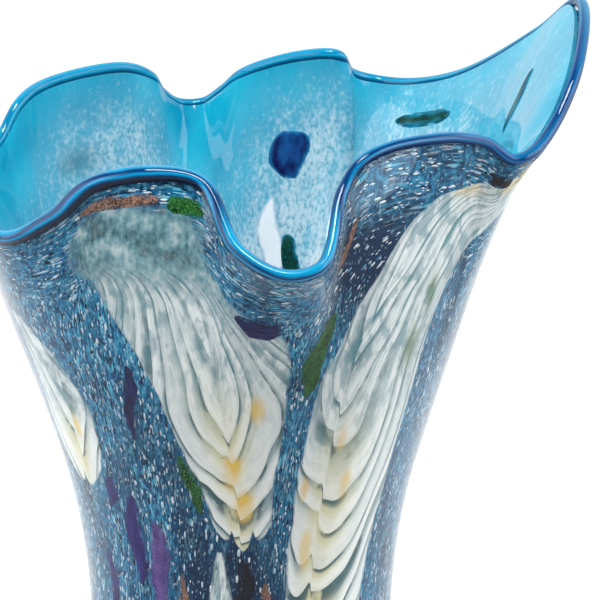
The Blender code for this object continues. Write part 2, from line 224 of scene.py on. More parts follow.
def pale_floor():
    material = bpy.data.materials.new("pale_floor")
    material.use_nodes = True
    tree = material.node_tree
    tree.nodes.clear()
    paint = add(tree, "ShaderNodeBsdfDiffuse", {"Color": (FLOOR_GREY, FLOOR_GREY, FLOOR_GREY, 1.0)})
    lit = at_least_for_camera(tree, far_side(tree, "Object", FLOOR_FADE))
    strength = times(tree, times(tree, seen_directly(tree), lit), FLOOR_GLOW)
    glow = add(tree, "ShaderNodeEmission", {"Strength": strength})
    both = add(tree, "ShaderNodeAddShader", {0: paint.outputs[0], 1: glow.outputs[0]})
    add(tree, "ShaderNodeOutputMaterial", {"Surface": both.outputs[0]})
    return material


def studio_world():
    """White for the camera; for mirror and glass rays white on the far side and dim on the near one."""
    world = bpy.data.worlds.new("studio")
    world.use_nodes = True
    tree = world.node_tree
    tree.nodes.clear()
    walls = scaled(tree, far_side(tree, "Generated", WALL_FADE), 1.0 - DARK_SIDE, DARK_SIDE)
    walls = at_least_for_camera(tree, walls)
    seen = seen_directly(tree)
    soft = times(tree, maths(tree, "SUBTRACT", 1.0, seen), ROOM_LIGHT)
    strength = scaled(tree, walls, seen, soft)
    light = add(tree, "ShaderNodeBackground", {"Color": (1.0, 1.0, 1.0, 1.0), "Strength": strength})
    add(tree, "ShaderNodeOutputWorld", {"Surface": light.outputs[0]})
    return world


floor_mesh = bpy.data.meshes.new("floor")
corners = [(-FLOOR_REACH, -FLOOR_REACH), (FLOOR_REACH, -FLOOR_REACH)]
corners += [(FLOOR_REACH, FLOOR_REACH), (-FLOOR_REACH, FLOOR_REACH)]
floor_mesh.from_pydata([(x, y, -FLOOR_DROP) for x, y in corners], [], [(0, 1, 2, 3)])
floor_mesh.materials.append(pale_floor())
floor = bpy.data.objects.new("floor", floor_mesh)
scene.collection.objects.link(floor)
scene.world = studio_world()
print("floor reaches", FLOOR_REACH, "m to each side")

# %% Lamps
# Place, width and height in metres, and power in watts.
SOFT_BOXES = {
    "left_box": ((-1.25, -0.45, 0.55), 1.5, 1.5, 15.5),
    "right_box": ((1.25, -0.35, 0.55), 1.3, 1.5, 16.0),
    "top_box": ((-0.1, -0.5, 1.4), 0.55, 0.30, 11.0),
}

for name, (place, width, height, power) in SOFT_BOXES.items():
    lamp = bpy.data.lights.new(name, "AREA")
    lamp.shape = "RECTANGLE"
    lamp.size = width
    lamp.size_y = height
    lamp.energy = power
    box = bpy.data.objects.new(name, lamp)
    box.location = place
    towards = Vector(LOOK_AT) - Vector(place)
    box.rotation_euler = towards.to_track_quat("-Z", "Y").to_euler()
    scene.collection.objects.link(box)
    print(name, "gives", power, "W")

# %% [markdown]
# ## The shape of the wall
# The vase is a turned body whose lip has been pulled into folds. So the wall needs two lines only: the
# profile that a lathe would turn, and the wandering line of the lip. A smooth curve runs through each.
# Between them, every column of the wall climbs from the round foot to its own point of the lip, and the
# folds come in late on the way up, as they do when only the lip is hot enough to move.

# %% Profile, lip and the guiding surface
# Radius and height in mm.
PROFILE_STATIONS = [
    (50.0, 0.0),
    (61.0, 10.0),
    (67.5, 45.0),
    (59.5, 132.0),
    (65.5, 188.0),
    (90.0, 266.0),
    (98.5, 298.0),
    (104.0, 334.0),
]
LIP_RADIUS = 104.0 * MM
LIP_HEIGHT = 334.0 * MM
PER_CENT = LIP_HEIGHT / 100.0
RUFFLE_START = 205.0 * MM
RADIUS_POWER = 5.0
HEIGHT_POWER = 2.0
COLUMNS = 360
PROFILE_POINTS = 400
# How far apart two points lie that give a direction.
STEP = 2.0 * MM

# Turn in degrees, then mm beyond LIP_RADIUS and mm above LIP_HEIGHT.
LIP_STATIONS = [
    (-144.0, 4.0, -28.5),
    (-129.0, 0.0, -16.0),
    (-122.5, -4.0, -5.0),
    (-110.0, -8.5, 1.0),
    (-97.5, -11.0, -2.0),
    (-89.5, 4.0, -23.0),
    (-81.0, 12.0, -31.0),
    (-74.0, 11.0, -28.0),
    (-66.5, -6.0, -5.0),
    (-60.0, -7.5, 6.0),
    (-43.0, -2.0, 10.0),
    (-32.0, 5.0, 6.0),
    (-28.0, 12.0, -1.0),
    (-25.0, 17.0, 0.5),
    (-18.0, 21.5, 10.0),
    (-10.5, 26.5, 28.0),
    (8.0, 29.0, 46.0),
    (18.0, 20.0, 31.0),
    (38.5, 11.0, 8.0),
    (53.0, 11.0, 0.0),
    (61.5, 9.0, 0.0),
    (65.0, 0.0, 4.0),
    (65.5, -11.0, 13.0),
    (75.0, -12.5, 12.0),
    (89.5, -6.5, 3.5),
    (94.5, 2.0, -5.5),
    (98.5, 7.0, -11.5),
    (104.0, 7.5, -11.5),
    (108.5, 2.5, -5.5),
    (112.5, -4.5, 3.0),
    (121.0, -9.0, 8.5),
    (143.0, -6.0, 6.0),
    (152.5, -5.0, 1.0),
    (159.5, -2.0, -12.0),
    (172.0, 3.0, -21.0),
    (194.0, 6.0, -12.0),
]


def smooth_path(stations, closed, count):
    """Points spread evenly over the parameter of a spline that passes through every station."""
    points = np.array(stations, dtype=float)
    if closed:
        points = np.vstack([points[-1:], points, points[:2]])
    else:
        points = np.vstack([2 * points[0] - points[1], points, 2 * points[-1] - points[-2]])
    steps = np.sqrt(np.linalg.norm(np.diff(points, axis=0), axis=1))
    knots = np.concatenate([[0.0], np.cumsum(steps)])
    at = np.linspace(knots[1], knots[-2], count, endpoint=not closed)
    span = np.clip(np.searchsorted(knots, at, side="right") - 1, 1, len(points) - 3)
    before, here, there, after = (points[span + k] for k in (-1, 0, 1, 2))
    k0, k1, k2 = (steps[span + k][:, None] for k in (-1, 0, 1))
    leave = ((here - before) / k0 - (there - before) / (k0 + k1) + (there - here) / k1) * k1
    arrive = ((there - here) / k1 - (after - here) / (k1 + k2) + (after - there) / k2) * k1
    t = ((at - knots[span]) / steps[span])[:, None]
    path = here + t * leave
    path += t**2 * (3 * (there - here) - 2 * leave - arrive)
    path += t**3 * (2 * (here - there) + leave + arrive)
    return path


def lip_points():
    rows = []
    for turn, reach, rise in LIP_STATIONS:
        radius = LIP_RADIUS + reach * MM
        angle = math.radians(turn)
        rows.append((radius * math.cos(angle), radius * math.sin(angle), LIP_HEIGHT + rise * MM))
    return smooth_path(rows, True, COLUMNS)


PROFILE = smooth_path(PROFILE_STATIONS, False, PROFILE_POINTS) * MM
LIP = lip_points()
LIP_REACH = np.hypot(LIP[:, 0], LIP[:, 1])
LIP_TURN = np.unwrap(np.arctan2(LIP[:, 1], LIP[:, 0]))
EVEN_TURN = np.arange(COLUMNS) * 2 * math.pi / COLUMNS
EVEN_TURN = EVEN_TURN + np.mean(LIP_TURN - EVEN_TURN)


def unit(vectors):
    return vectors / np.linalg.norm(vectors, axis=-1, keepdims=True)


def lift_at(heights):
    """How far the ruffle has come in at each height: 0 below it, 1 at the lip."""
    return np.clip((heights - RUFFLE_START) / (LIP_HEIGHT - RUFFLE_START), 0.0, 1.0)


def guide(heights):
    """The guiding surface: a row of points for each height of the unruffled body."""
    lift = lift_at(heights)[:, None]
    part = (heights / LIP_HEIGHT)[:, None]
    turn = EVEN_TURN + (LIP_TURN - EVEN_TURN) * part * part * (3 - 2 * part)
    radius = np.interp(heights, PROFILE[:, 1], PROFILE[:, 0])[:, None]
    radius = radius + (LIP_REACH - LIP_RADIUS) * lift**RADIUS_POWER
    rise = heights[:, None] + (LIP[:, 2] - LIP_HEIGHT) * lift**HEIGHT_POWER
    return np.stack([radius * np.cos(turn), radius * np.sin(turn), rise], axis=-1)


def outward(heights):
    """The direction out of the wall at every point of the guiding surface."""
    up = guide(np.minimum(heights + STEP, LIP_HEIGHT)) - guide(np.maximum(heights - STEP, 0.0))
    ring = guide(heights)
    along = np.roll(ring, -1, axis=1) - np.roll(ring, 1, axis=1)
    return unit(np.cross(along, up))


print("lip runs over", round(np.ptp(LIP[:, 2]) / MM, 1), "mm of height")

# %% [markdown]
# ## From a surface to a cup
# A blown cup has two faces, one inside the other, that meet at the lip and close over the floor. Each face
# is the guiding surface moved in by the thickness of the glass outside it, and the glass is drawn thinner
# towards the lip. Bridging ring to ring keeps the columns of the wall, which the colours later flow along.
# The hidden face of each cup has fewer rows, since it only has to close the piece.

# %% Faces and rings
# Thickness of casing, speckled layer and lining, and the numbers of the faces that are built.
LAYERS = [2.0 * MM, 2.4 * MM, 1.8 * MM]
CASING_OUTSIDE = 0
SPECKLE_OUTSIDE = 2
SPECKLE_INSIDE = 3
LINING_INSIDE = 5
GAP = 0.3 * MM
LIP_THINNING = 0.72
BASE_THICKNESS = 12.0 * MM
FLOOR_TURN_HEIGHT = BASE_THICKNESS + 24.0 * MM
FLOOR_ROUNDNESS = 0.8
# Degrees of the rings between the middle of the floor and its edge, and how far colours run over it.
FLOOR_ANGLES = [84, 76, 66, 56, 46, 36, 26, 17, 8]
FLOOR_SPREAD = 60.0 * MM
FOOT_SHARES = (0.3, 0.6, 0.9, 0.97)
LIP_SINK = 1.5 * MM
LIP_TOP = LIP_HEIGHT - LIP_SINK
STRAIGHT_RADIUS = 85.0 * MM


def depth_at(face, heights):
    """Depth of a glass face below the skin; faces are numbered from the outside in, two to a layer."""
    thinning = 1.0 - (1.0 - LIP_THINNING) * lift_at(heights) ** 2
    return thinning * sum(LAYERS[: (face + 1) // 2]) + GAP * (face // 2)


def inset_at(face, heights):
    return depth_at(face, heights) - 0.5 * depth_at(LINING_INSIDE, heights) * lift_at(heights) ** 3


def straight_place(turns, heights):
    """Where a point would lie on a straight round tube: colours are laid out there, with no seam."""
    turns, heights = np.broadcast_arrays(turns, heights)
    return np.stack([STRAIGHT_RADIUS * np.cos(turns), STRAIGHT_RADIUS * np.sin(turns), heights], axis=-1)


def side_rings(face, heights, deeper=0.0):
    inset = (inset_at(face, heights) + deeper)[:, None, None]
    points = guide(heights) - outward(heights) * inset
    return list(points), list(straight_place(EVEN_TURN[None, :], heights[:, None]))


def floor_rings(face, deeper=0.0):
    """Rings of a rounded floor from its middle out to where the side wall begins."""
    heights = np.array([FLOOR_TURN_HEIGHT])
    edge = side_rings(face, heights, deeper)[0][0]
    bottom = BASE_THICKNESS + float(depth_at(face, np.zeros(1))[0]) - LAYERS[0] + deeper
    rings = [np.array([[0.0, 0.0, bottom]])]
    places = [np.array([[0.0, 0.0, bottom]])]
    for angle in np.radians(FLOOR_ANGLES):
        reach = math.cos(angle) ** FLOOR_ROUNDNESS
        ring = edge * np.array([reach, reach, 1.0])
        ring[:, 2] += (bottom - ring[:, 2]) * math.sin(angle) ** FLOOR_ROUNDNESS
        rings.append(ring)
        places.append(straight_place(EVEN_TURN, FLOOR_TURN_HEIGHT - (1.0 - reach) * FLOOR_SPREAD))
    return rings, places


def foot_rings():
    """Rings of the ground flat under the foot, from its middle out."""
    edge = guide(np.zeros(1))[0]
    rings = [np.zeros((1, 3))]
    places = [np.zeros((1, 3))]
    for share in FOOT_SHARES:
        rings.append(edge * share)
        places.append(straight_place(EVEN_TURN, 0.0 * EVEN_TURN))
    return rings, places


print("glass in the wall in mm:", round(sum(LAYERS) / MM, 1))


# %% Closed pieces
SHARP_EDGE = math.radians(50.0)
BODY_ROWS = 44
RUFFLE_ROWS = 96
HIDDEN_EVERY = 5


def bridge(rings):
    """Faces between each ring and the next; a ring of one point closes in a fan."""
    faces = []
    start = 0
    for low, high in zip(rings, rings[1:]):
        n, m = len(low), len(high)
        for k in range(max(n, m)):
            after = (k + 1) % max(n, m)
            corners = [start + k % n, start + after % n, start + n + after % m, start + n + k % m]
            faces.append(tuple(dict.fromkeys(corners)))
        start += n
    return faces


def write_attribute(mesh, name, values):
    values = np.asarray(values, dtype=np.float32)
    if values.ndim == 2:
        mesh.attributes.new(name, "FLOAT_VECTOR", "POINT").data.foreach_set("vector", values.ravel())
    else:
        mesh.attributes.new(name, "FLOAT", "POINT").data.foreach_set("value", values)


def new_mesh(name, points, faces, material, **attributes):
    """A smooth mesh with its faces turned outwards, a material and its own point attributes."""
    points = np.asarray(points)
    first = np.array([face[0] for face in faces])
    second = np.array([face[1] for face in faces])
    third = np.array([face[2] for face in faces])
    volume = np.einsum("ij,ij->i", points[first], np.cross(points[second], points[third])).sum()
    if volume < 0.0:
        faces = [face[::-1] for face in faces]
    mesh = bpy.data.meshes.new(name)
    mesh.from_pydata(points.tolist(), [], faces)
    mesh.polygons.foreach_set("use_smooth", np.ones(len(mesh.polygons), dtype=bool))
    mesh.materials.append(material)
    for key, values in attributes.items():
        write_attribute(mesh, key, values)
    return mesh


def new_piece(mesh, slot, *nodes):
    """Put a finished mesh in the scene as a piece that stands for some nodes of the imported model."""
    piece = bpy.data.objects.new(mesh.name, mesh)
    scene.collection.objects.link(piece)
    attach(piece, "root")
    if nodes:
        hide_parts(*nodes)
    mesh.calc_loop_triangles()
    print(piece.name, "has", len(mesh.loop_triangles), "triangles")
    return piece


def cup_mesh(name, outer, inner, material):
    """A closed cup: up the outer rings, over the lip and down the inner ones."""
    rings = outer[0] + inner[0][::-1]
    places = outer[1] + inner[1][::-1]
    mesh = new_mesh(name, np.vstack(rings), bridge(rings), material, straight=np.vstack(places))
    mesh.set_sharp_from_angle(angle=SHARP_EDGE)
    return mesh


FINE_ROWS = np.concatenate(
    [
        np.linspace(FLOOR_TURN_HEIGHT, RUFFLE_START, BODY_ROWS, endpoint=False),
        np.linspace(RUFFLE_START, LIP_TOP, RUFFLE_ROWS),
    ]
)
HIDDEN_ROWS = np.append(FINE_ROWS[::HIDDEN_EVERY][:-1], LIP_TOP)
print("rows on a visible face:", len(FINE_ROWS), "and on a hidden one:", len(HIDDEN_ROWS))

# %% [markdown]
# ## The speckled ground
# Before the last gather of clear glass, the blower rolls the hot bubble over crushed glass. The grains
# stretch into short dashes as the bubble grows: along the wall on the body, and along the lip where it is
# pulled into folds. A cell pattern gives each dash a colour of its own, and it is laid out on a straight
# tube and carried to the wall, so the dashes follow the glass. Painting alone would do, but real grains are
# scattered later.

# %% Colours of the speckled layer
STEEL_BLUES = [
    (0.00, 0.003, 0.007, 0.024),
    (0.15, 0.003, 0.060, 0.165),
    (0.36, 0.008, 0.165, 0.330),
    (0.62, 0.040, 0.330, 0.540),
    (0.78, 0.170, 0.560, 0.720),
    (0.93, 0.680, 0.790, 0.830),
]
SOFT_BLUES = [
    (0.32, 0.003, 0.020, 0.060),
    (0.45, 0.005, 0.100, 0.220),
    (0.56, 0.012, 0.220, 0.410),
    (0.70, 0.100, 0.420, 0.590),
]
NAVY = (0.004, 0.028, 0.080)
PALE_DUST = (0.30, 0.52, 0.66)
# Cells of the patterns in mm: round the wall, and up it.
DASH = (0.55, 0.55, 2.6)
LIP_DASH = (3.0, 3.0, 0.55)
DUST = (0.4, 0.4, 1.0)
MELT = (1.1, 1.1, 3.4)
CLUSTER = (6.0, 6.0, 15.0)
DEEP_PATCH = (14.0, 14.0, 40.0)
# Heights between which the dashes turn from along the wall to along the lip.
DASH_TURNS = (284.0 * MM, 310.0 * MM)
# Turn, height and reach in mm of the parts of the ground that hold more navy: deeper glass, with painted shade
# low in the front and under a fold.
NAVY_AND_SHADE_SPOTS = [(-86.0, 155.0, 60.0), (-61.0, 298.0, 32.0)]
NAVY_AND_SHADE_STRENGTH = 1.25


def wall_place(tree):
    """The place on the straight tube, where every colour of the wall is laid out."""
    return attribute(tree, "straight", "Vector")


def spot(tree, place, turn, height, reach):
    """1 in the middle of a soft spot of the wall and 0 beyond its reach; height and reach are in mm."""
    column = np.argmin(np.abs(np.angle(np.exp(1j * (LIP_TURN - math.radians(turn))))))
    middle = straight_place(EVEN_TURN[column], height * MM).tolist()
    apart = add(tree, "ShaderNodeVectorMath", {0: place, 1: middle}, operation="DISTANCE").outputs["Value"]
    return ease(tree, apart, reach * MM, 0.0)


def ground_colour(tree):
    """The colour of the speckled glass at a point of the wall, with painted shade in two spots."""
    place = wall_place(tree)
    along_wall = ramp(tree, cell_numbers(tree, place, DASH), STEEL_BLUES, "CONSTANT")
    along_lip = ramp(tree, cell_numbers(tree, place, LIP_DASH), STEEL_BLUES, "CONSTANT")
    dashes = mix(tree, ease(tree, axes(tree, place)["Z"], *DASH_TURNS), along_wall, along_lip)
    melted = ramp(tree, noise(tree, place, MELT, 4.0), SOFT_BLUES)
    colour = mix(tree, ease(tree, noise(tree, place, CLUSTER, 3.0), 0.36, 0.60), melted, dashes)
    shade = times(tree, ease(tree, noise(tree, place, DEEP_PATCH), 0.44, 0.70), 0.6)
    # Painted shade, with deeper navy glass: the ground darkens in spots low in the front and under a fold.
    for navy in NAVY_AND_SHADE_SPOTS:
        shade = scaled(tree, spot(tree, place, *navy), NAVY_AND_SHADE_STRENGTH, shade)
    colour = mix(tree, shade, colour, NAVY)
    dust = ease(tree, cell_numbers(tree, place, DUST), 0.93, 0.95)
    return mix(tree, times(tree, dust, 0.5), colour, PALE_DUST)


print("blues in the speckled layer:", len(STEEL_BLUES) + len(SOFT_BLUES))


# %% Speckled layer
def joined(*parts):
    """Rings and their straight places, taken from one part of a cup after another."""
    return [sum(lists, []) for lists in zip(*parts)]


speckle = cup_mesh(
    "speckled_layer",
    joined(floor_rings(SPECKLE_OUTSIDE), side_rings(SPECKLE_OUTSIDE, FINE_ROWS)),
    joined(floor_rings(SPECKLE_INSIDE), side_rings(SPECKLE_INSIDE, HIDDEN_ROWS)),
    new_material("speckled_glass", ground_colour, Roughness=0.4, Specular_IOR_Level=0.0),
)
new_piece(speckle, "speckled_glass", "speckle_layer")

# %% [markdown]
# ## The clear casing
# The last gather is clear glass. It is what makes the colours look wet and deep: every highlight lies on
# its outside, and the grains lie a little below. It is modelled as a cup of real glass with its inner face
# just inside the speckled layer, so that no film of air shows between the two. Light from the lamps passes
# it freely, which keeps the render clean.

# %% Casing
CLEAR = (0.94, 0.98, 1.0, 1.0)
GLASS_IOR = 1.45
HEEL_ROWS = np.concatenate([np.linspace(0.0, 12.0, 9), np.linspace(14.0, 34.0, 6)]) * MM

clear_glass = new_material(
    "clear_glass",
    Base_Color=CLEAR,
    Roughness=0.0,
    IOR=GLASS_IOR,
    Transmission_Weight=1.0,
    Specular_IOR_Level=0.5,
)
casing = cup_mesh(
    "clear_casing_glass",
    joined(foot_rings(), side_rings(CASING_OUTSIDE, HEEL_ROWS), side_rings(CASING_OUTSIDE, FINE_ROWS)),
    joined(floor_rings(SPECKLE_OUTSIDE, GAP), side_rings(SPECKLE_OUTSIDE, HIDDEN_ROWS, GAP)),
    clear_glass,
)
casing_piece = new_piece(casing, "clear_glass", "clear_casing")
casing_piece.visible_shadow = False

# %% [markdown]
# ## The turquoise lining
# Inside, the vase is turquoise under the lip and clouds over to white further down, where white grains were
# picked up before the colour. Soft spots say where those grains lie thick. One noise draws them out into
# streaks along the wall, and a finer one breaks the streaks up into white grains and darker glass between
# them.

# %% Colours of the lining
# Turn, height and reach in mm, and strength of the places where white grains cloud the lining.
HAZES = [
    (121.0, 304.0, 40.0, 0.55),
    (70.0, 304.0, 38.0, 0.55),
    (73.0, 262.0, 36.0, 0.55),
    (46.0, 306.0, 46.0, 0.50),
    (6.0, 322.0, 44.0, 0.22),
]
# Heights between which the lining clouds over all round, and how strongly.
LOW_HAZE = (318.0 * MM, 270.0 * MM)
LOW_HAZE_STRENGTH = 0.35
SMUDGE = (135.0, 302.0, 9.0)
TURQUOISES = [(0.3, 0.004, 0.32, 0.52), (0.6, 0.010, 0.46, 0.66), (0.8, 0.04, 0.54, 0.72)]
HAZE_BLUE = (0.42, 0.62, 0.69)
BETWEEN_GRAINS = (0.010, 0.28, 0.42)
GRAIN_WHITE = (0.78, 0.87, 0.90)
SMUDGE_GREY = (0.08, 0.22, 0.28)
# Cells of the patterns in mm.
LINING_CLOUD = (24.0, 24.0, 30.0)
LINING_STREAK = (5.0, 5.0, 16.0)
LINING_GRAIN = (1.0, 1.0, 2.0)


def lining_colour(tree):
    place = wall_place(tree)
    haze = times(tree, ease(tree, axes(tree, place)["Z"], *LOW_HAZE), LOW_HAZE_STRENGTH)
    for *where, strength in HAZES:
        haze = scaled(tree, spot(tree, place, *where), strength, haze)
    haze = times(tree, haze, times(tree, noise(tree, place, LINING_STREAK, 4.0), 2.0))
    colour = ramp(tree, noise(tree, place, LINING_CLOUD, 3.0), TURQUOISES)
    colour = mix(tree, times(tree, haze, 0.80), colour, HAZE_BLUE)
    grain = noise(tree, place, LINING_GRAIN, 6.0)
    between = times(tree, ease(tree, grain, 0.50, 0.32), times(tree, haze, 0.7))
    colour = mix(tree, between, colour, BETWEEN_GRAINS)
    white = times(tree, ease(tree, swung(tree, grain, 2.2, haze), 0.25, 1.25), 0.65)
    colour = mix(tree, white, colour, GRAIN_WHITE)
    return mix(tree, times(tree, spot(tree, place, *SMUDGE), 0.7), colour, SMUDGE_GREY)


print("hazes in the lining:", len(HAZES))

# %% Lining
LINING_OVERLAP = 0.2 * MM

lining = cup_mesh(
    "turquoise_lining",
    joined(
        floor_rings(SPECKLE_INSIDE, -LINING_OVERLAP),
        side_rings(SPECKLE_INSIDE, HIDDEN_ROWS, -LINING_OVERLAP),
    ),
    joined(floor_rings(LINING_INSIDE), side_rings(LINING_INSIDE, FINE_ROWS)),
    new_material("aqua_glass", lining_colour, Roughness=0.06),
)
new_piece(lining, "aqua_glass", "aqua_lining")

# %% [markdown]
# ## The lip wrap
# A thread of azure glass is laid round the lip while it is hot. It follows a path, so Geometry Nodes make
# it: the lip's points become a curve, and a round profile is swept along it. The thread was trailed by hand
# and is thickest where it began, at the front left, so a thickness stored on the points scales the profile.

# %% Finish of the wrap
# From where the thread meets the wall to its very top: navy of painted shadow against the wall, then dark and
# bright bands of painted refraction.
AZURES_WITH_PAINTED_REFRACTION = [
    (0.26, 0.0, 0.006, 0.035),
    (0.40, 0.0, 0.030, 0.11),
    (0.50, 0.0, 0.220, 0.48),
    (0.57, 0.0, 0.420, 0.80),
    (0.64, 0.0, 0.160, 0.42),
    (0.72, 0.0, 0.035, 0.14),
    (0.80, 0.0, 0.060, 0.20),
    (0.89, 0.0, 0.300, 0.60),
    (0.97, 0.0, 0.420, 0.76),
]
# Painted light shining through the thread at the back.
BACKLIT_AZURES = [
    (0.32, 0.00, 0.10, 0.25),
    (0.48, 0.00, 0.34, 0.60),
    (0.60, 0.01, 0.52, 0.80),
    (0.72, 0.00, 0.24, 0.48),
    (0.88, 0.00, 0.40, 0.70),
]
DEEP_AZURE = (0.0, 0.055, 0.250)
WRAP_DRIFT = (18.0, 18.0, 18.0)
# The thread grows deeper in colour towards the ear, and paler towards the back, where the paler bands are
# painted light shining through it.
DEEP_TOWARDS_EAR = (0.0, 120.0 * MM)
BACKLIT_TOWARDS_BACK = (-20.0 * MM, 45.0 * MM)


def azure_colour(tree):
    """Bands of painted shadow and refraction, from navy where the thread meets the wall to bright azure over
    its top.
    """
    place = add(tree, "ShaderNodeTexCoord").outputs["Object"]
    over = swung(tree, noise(tree, place, WRAP_DRIFT), 0.3, attribute(tree, "over"))
    apart = axes(tree, place)
    deep = times(tree, ease(tree, apart["X"], *DEEP_TOWARDS_EAR), 0.65)
    # Painted shadow and refraction: the colour follows the place round the thread.
    front = mix(tree, deep, ramp(tree, over, AZURES_WITH_PAINTED_REFRACTION), DEEP_AZURE)
    # Painted light through the thread towards the back.
    return mix(tree, ease(tree, apart["Y"], *BACKLIT_TOWARDS_BACK), front, ramp(tree, over, BACKLIT_AZURES))


azure_glass = new_material(
    "azure_glass", azure_colour, Roughness=0.0, Transmission_Weight=0.25, Specular_IOR_Level=0.4
)
print("wrap finish has", len(azure_glass.node_tree.nodes), "nodes")


# %% Geometry Nodes that sweep a thread
def socket(tree, name, kind, direction="INPUT"):
    return tree.interface.new_socket(name=name, in_out=direction, socket_type="NodeSocket" + kind)


def new_tree(name, **kinds):
    """A Geometry Nodes tree with named inputs: the tree, its inputs' sockets and what they give."""
    tree = bpy.data.node_groups.new(name, "GeometryNodeTree")
    socket(tree, "Geometry", "Geometry")
    sockets = {key: socket(tree, key, kind) for key, kind in kinds.items()}
    socket(tree, "Geometry", "Geometry", "OUTPUT")
    return tree, sockets, add(tree, "NodeGroupInput").outputs


def stored(tree, name, kind="FLOAT"):
    return add(tree, "GeometryNodeInputNamedAttribute", {"Name": name}, data_type=kind).outputs[0]


def hand_over(tree, shape, material):
    """End a tree: a smooth, plain shape with its material."""
    whole = add(tree, "GeometryNodeRealizeInstances", {"Geometry": shape})
    smooth = add(tree, "GeometryNodeSetShadeSmooth", {"Geometry": whole.outputs[0]})
    sockets = {"Geometry": smooth.outputs[0], "Material": material}
    finish = add(tree, "GeometryNodeSetMaterial", sockets)
    add(tree, "NodeGroupOutput", {"Geometry": finish.outputs[0]})


def sweep_tree():
    """Geometry Nodes that sweep a round profile along a closed line of points."""
    tree, sockets, given = new_tree("sweep_along_lip", Radius="Float", Sides="Int", Material="Material")
    curve = add(tree, "GeometryNodeMeshToCurve", {"Mesh": given["Geometry"]})
    thick = stored(tree, "thickness")
    curve = add(tree, "GeometryNodeSetCurveRadius", {"Curve": curve.outputs[0], "Radius": thick})
    ring = {"Resolution": given["Sides"], "Radius": given["Radius"]}
    ring = add(tree, "GeometryNodeCurvePrimitiveCircle", ring)
    sweep = {"Curve": curve.outputs[0], "Profile Curve": ring.outputs[0], "Scale": thick}
    swept = add(tree, "GeometryNodeCurveToMesh", sweep)
    hand_over(tree, swept.outputs[0], given["Material"])
    return tree, sockets


def grown(name, base, tree, sockets, **values):
    """The plain mesh that a Geometry Nodes tree makes from a base mesh with the given inputs."""
    carrier = bpy.data.objects.new(name + "_carrier", base)
    scene.collection.objects.link(carrier)
    modifier = carrier.modifiers.new(name, "NODES")
    modifier.node_group = tree
    for key, value in values.items():
        modifier[sockets[key].identifier] = value
    graph = bpy.context.evaluated_depsgraph_get()
    mesh = bpy.data.meshes.new_from_object(carrier.evaluated_get(graph))
    mesh.name = name
    bpy.data.objects.remove(carrier)
    return mesh


sweep = sweep_tree()
print("inputs of the sweep:", ", ".join(sweep[1]))

# %% Lip wrap
WRAP_RADIUS = 3.3 * MM
WRAP_SIDES = 28
THIN_SHARE = 0.68
THICK_TURN = math.radians(-118.0)
THICK_REACH = math.radians(24.0)


def lip_line():
    """The lip as a closed line of points that carry the thread's thickness."""
    line = bpy.data.meshes.new("lip_line")
    line.from_pydata(LIP.tolist(), [(k, (k + 1) % COLUMNS) for k in range(COLUMNS)], [])
    apart = np.angle(np.exp(1j * (LIP_TURN - THICK_TURN))) / THICK_REACH
    write_attribute(line, "thickness", THIN_SHARE + (1.0 - THIN_SHARE) * np.exp(-(apart**2)))
    return line


def write_over(mesh):
    """Store how far each point of the thread lies from the wall: 0 against it, 1 at the very top."""
    points = np.array([vertex.co for vertex in mesh.vertices])
    nearest = np.array([np.argmin(np.linalg.norm(LIP - point, axis=1)) for point in points])
    top = np.array([LIP_HEIGHT])
    up = unit(guide(top)[0] - guide(top - STEP)[0])
    height = np.einsum("ij,ij->i", unit(points - LIP[nearest]), up[nearest])
    write_attribute(mesh, "over", 0.5 + 0.5 * height)


wrap_inputs = {"Radius": WRAP_RADIUS, "Sides": WRAP_SIDES, "Material": azure_glass}
wrap = grown("azure_lip_wrap", lip_line(), *sweep, **wrap_inputs)
write_over(wrap)
new_piece(wrap, "azure_glass", "lip_wrap")

# %% [markdown]
# ## Placing a plate on the wall
# Shards and chips are thin plates that sank into the hot wall. A plate is a grid: rows climb the wall,
# cells run across. For each row the wall's ring is worked out, and every point of the row looks up its
# column by its turn about the axis. The plate is lens shaped, so its rim dips under the ground it lies in
# and no step shows.

# %% Plates
PLATE_PROUD = 0.35 * MM
CHIP_PROUD = 0.55 * MM
PLATE_DIP = 0.25 * MM
PLATE_BELLY = 0.8 * MM
PLATE_MARGIN = 1.6 * MM
PLATE_SHOULDER = 3.0 * MM


def on_wall(height, turns, face):
    """Points, outward directions and straight places at some turns of one row of a glass face."""
    heights = np.array([height])
    out = outward(heights)[0]
    ring = guide(heights)[0] - out * inset_at(face, heights)[0]
    angles = np.maximum.accumulate(np.unwrap(np.arctan2(ring[:, 1], ring[:, 0])))
    angles = np.append(angles, angles[0] + 2 * math.pi)
    column = np.interp(angles[0] + (turns - angles[0]) % (2 * math.pi), angles, np.arange(COLUMNS + 1))
    low = column.astype(int) % COLUMNS
    high = (low + 1) % COLUMNS
    part = (column % 1.0)[:, None]
    points = ring[low] * (1 - part) + ring[high] * part
    normals = unit(out[low] * (1 - part) + out[high] * part)
    even = EVEN_TURN[0] + column * 2 * math.pi / COLUMNS
    return points, normals, straight_place(even, np.full(len(even), height))


def plate_grid(rows, face, across_cells):
    """Grid of a plate from rows of (height, left turn, right turn): points, normals, places and measures."""
    across = np.linspace(-1.0, 1.0, across_cells + 1)
    sheets = [on_wall(h, left + (right - left) * (across + 1) / 2, face) for h, left, right in rows]
    points, normals, places = (np.array(part) for part in zip(*sheets))
    half = np.linalg.norm(points[:, -1] - points[:, 0], axis=1)[:, None] / 2
    run = np.linalg.norm(np.diff(points[:, across_cells // 2], axis=0), axis=1)
    run = np.concatenate([[0.0], np.cumsum(run)])[:, None]
    border = np.minimum((1 - np.abs(across)) * half, np.minimum(run, run[-1] - run))
    along = np.repeat(run / run[-1], across_cells + 1, axis=1)
    return points, normals, places, along, np.tile(across, (len(rows), 1)), border


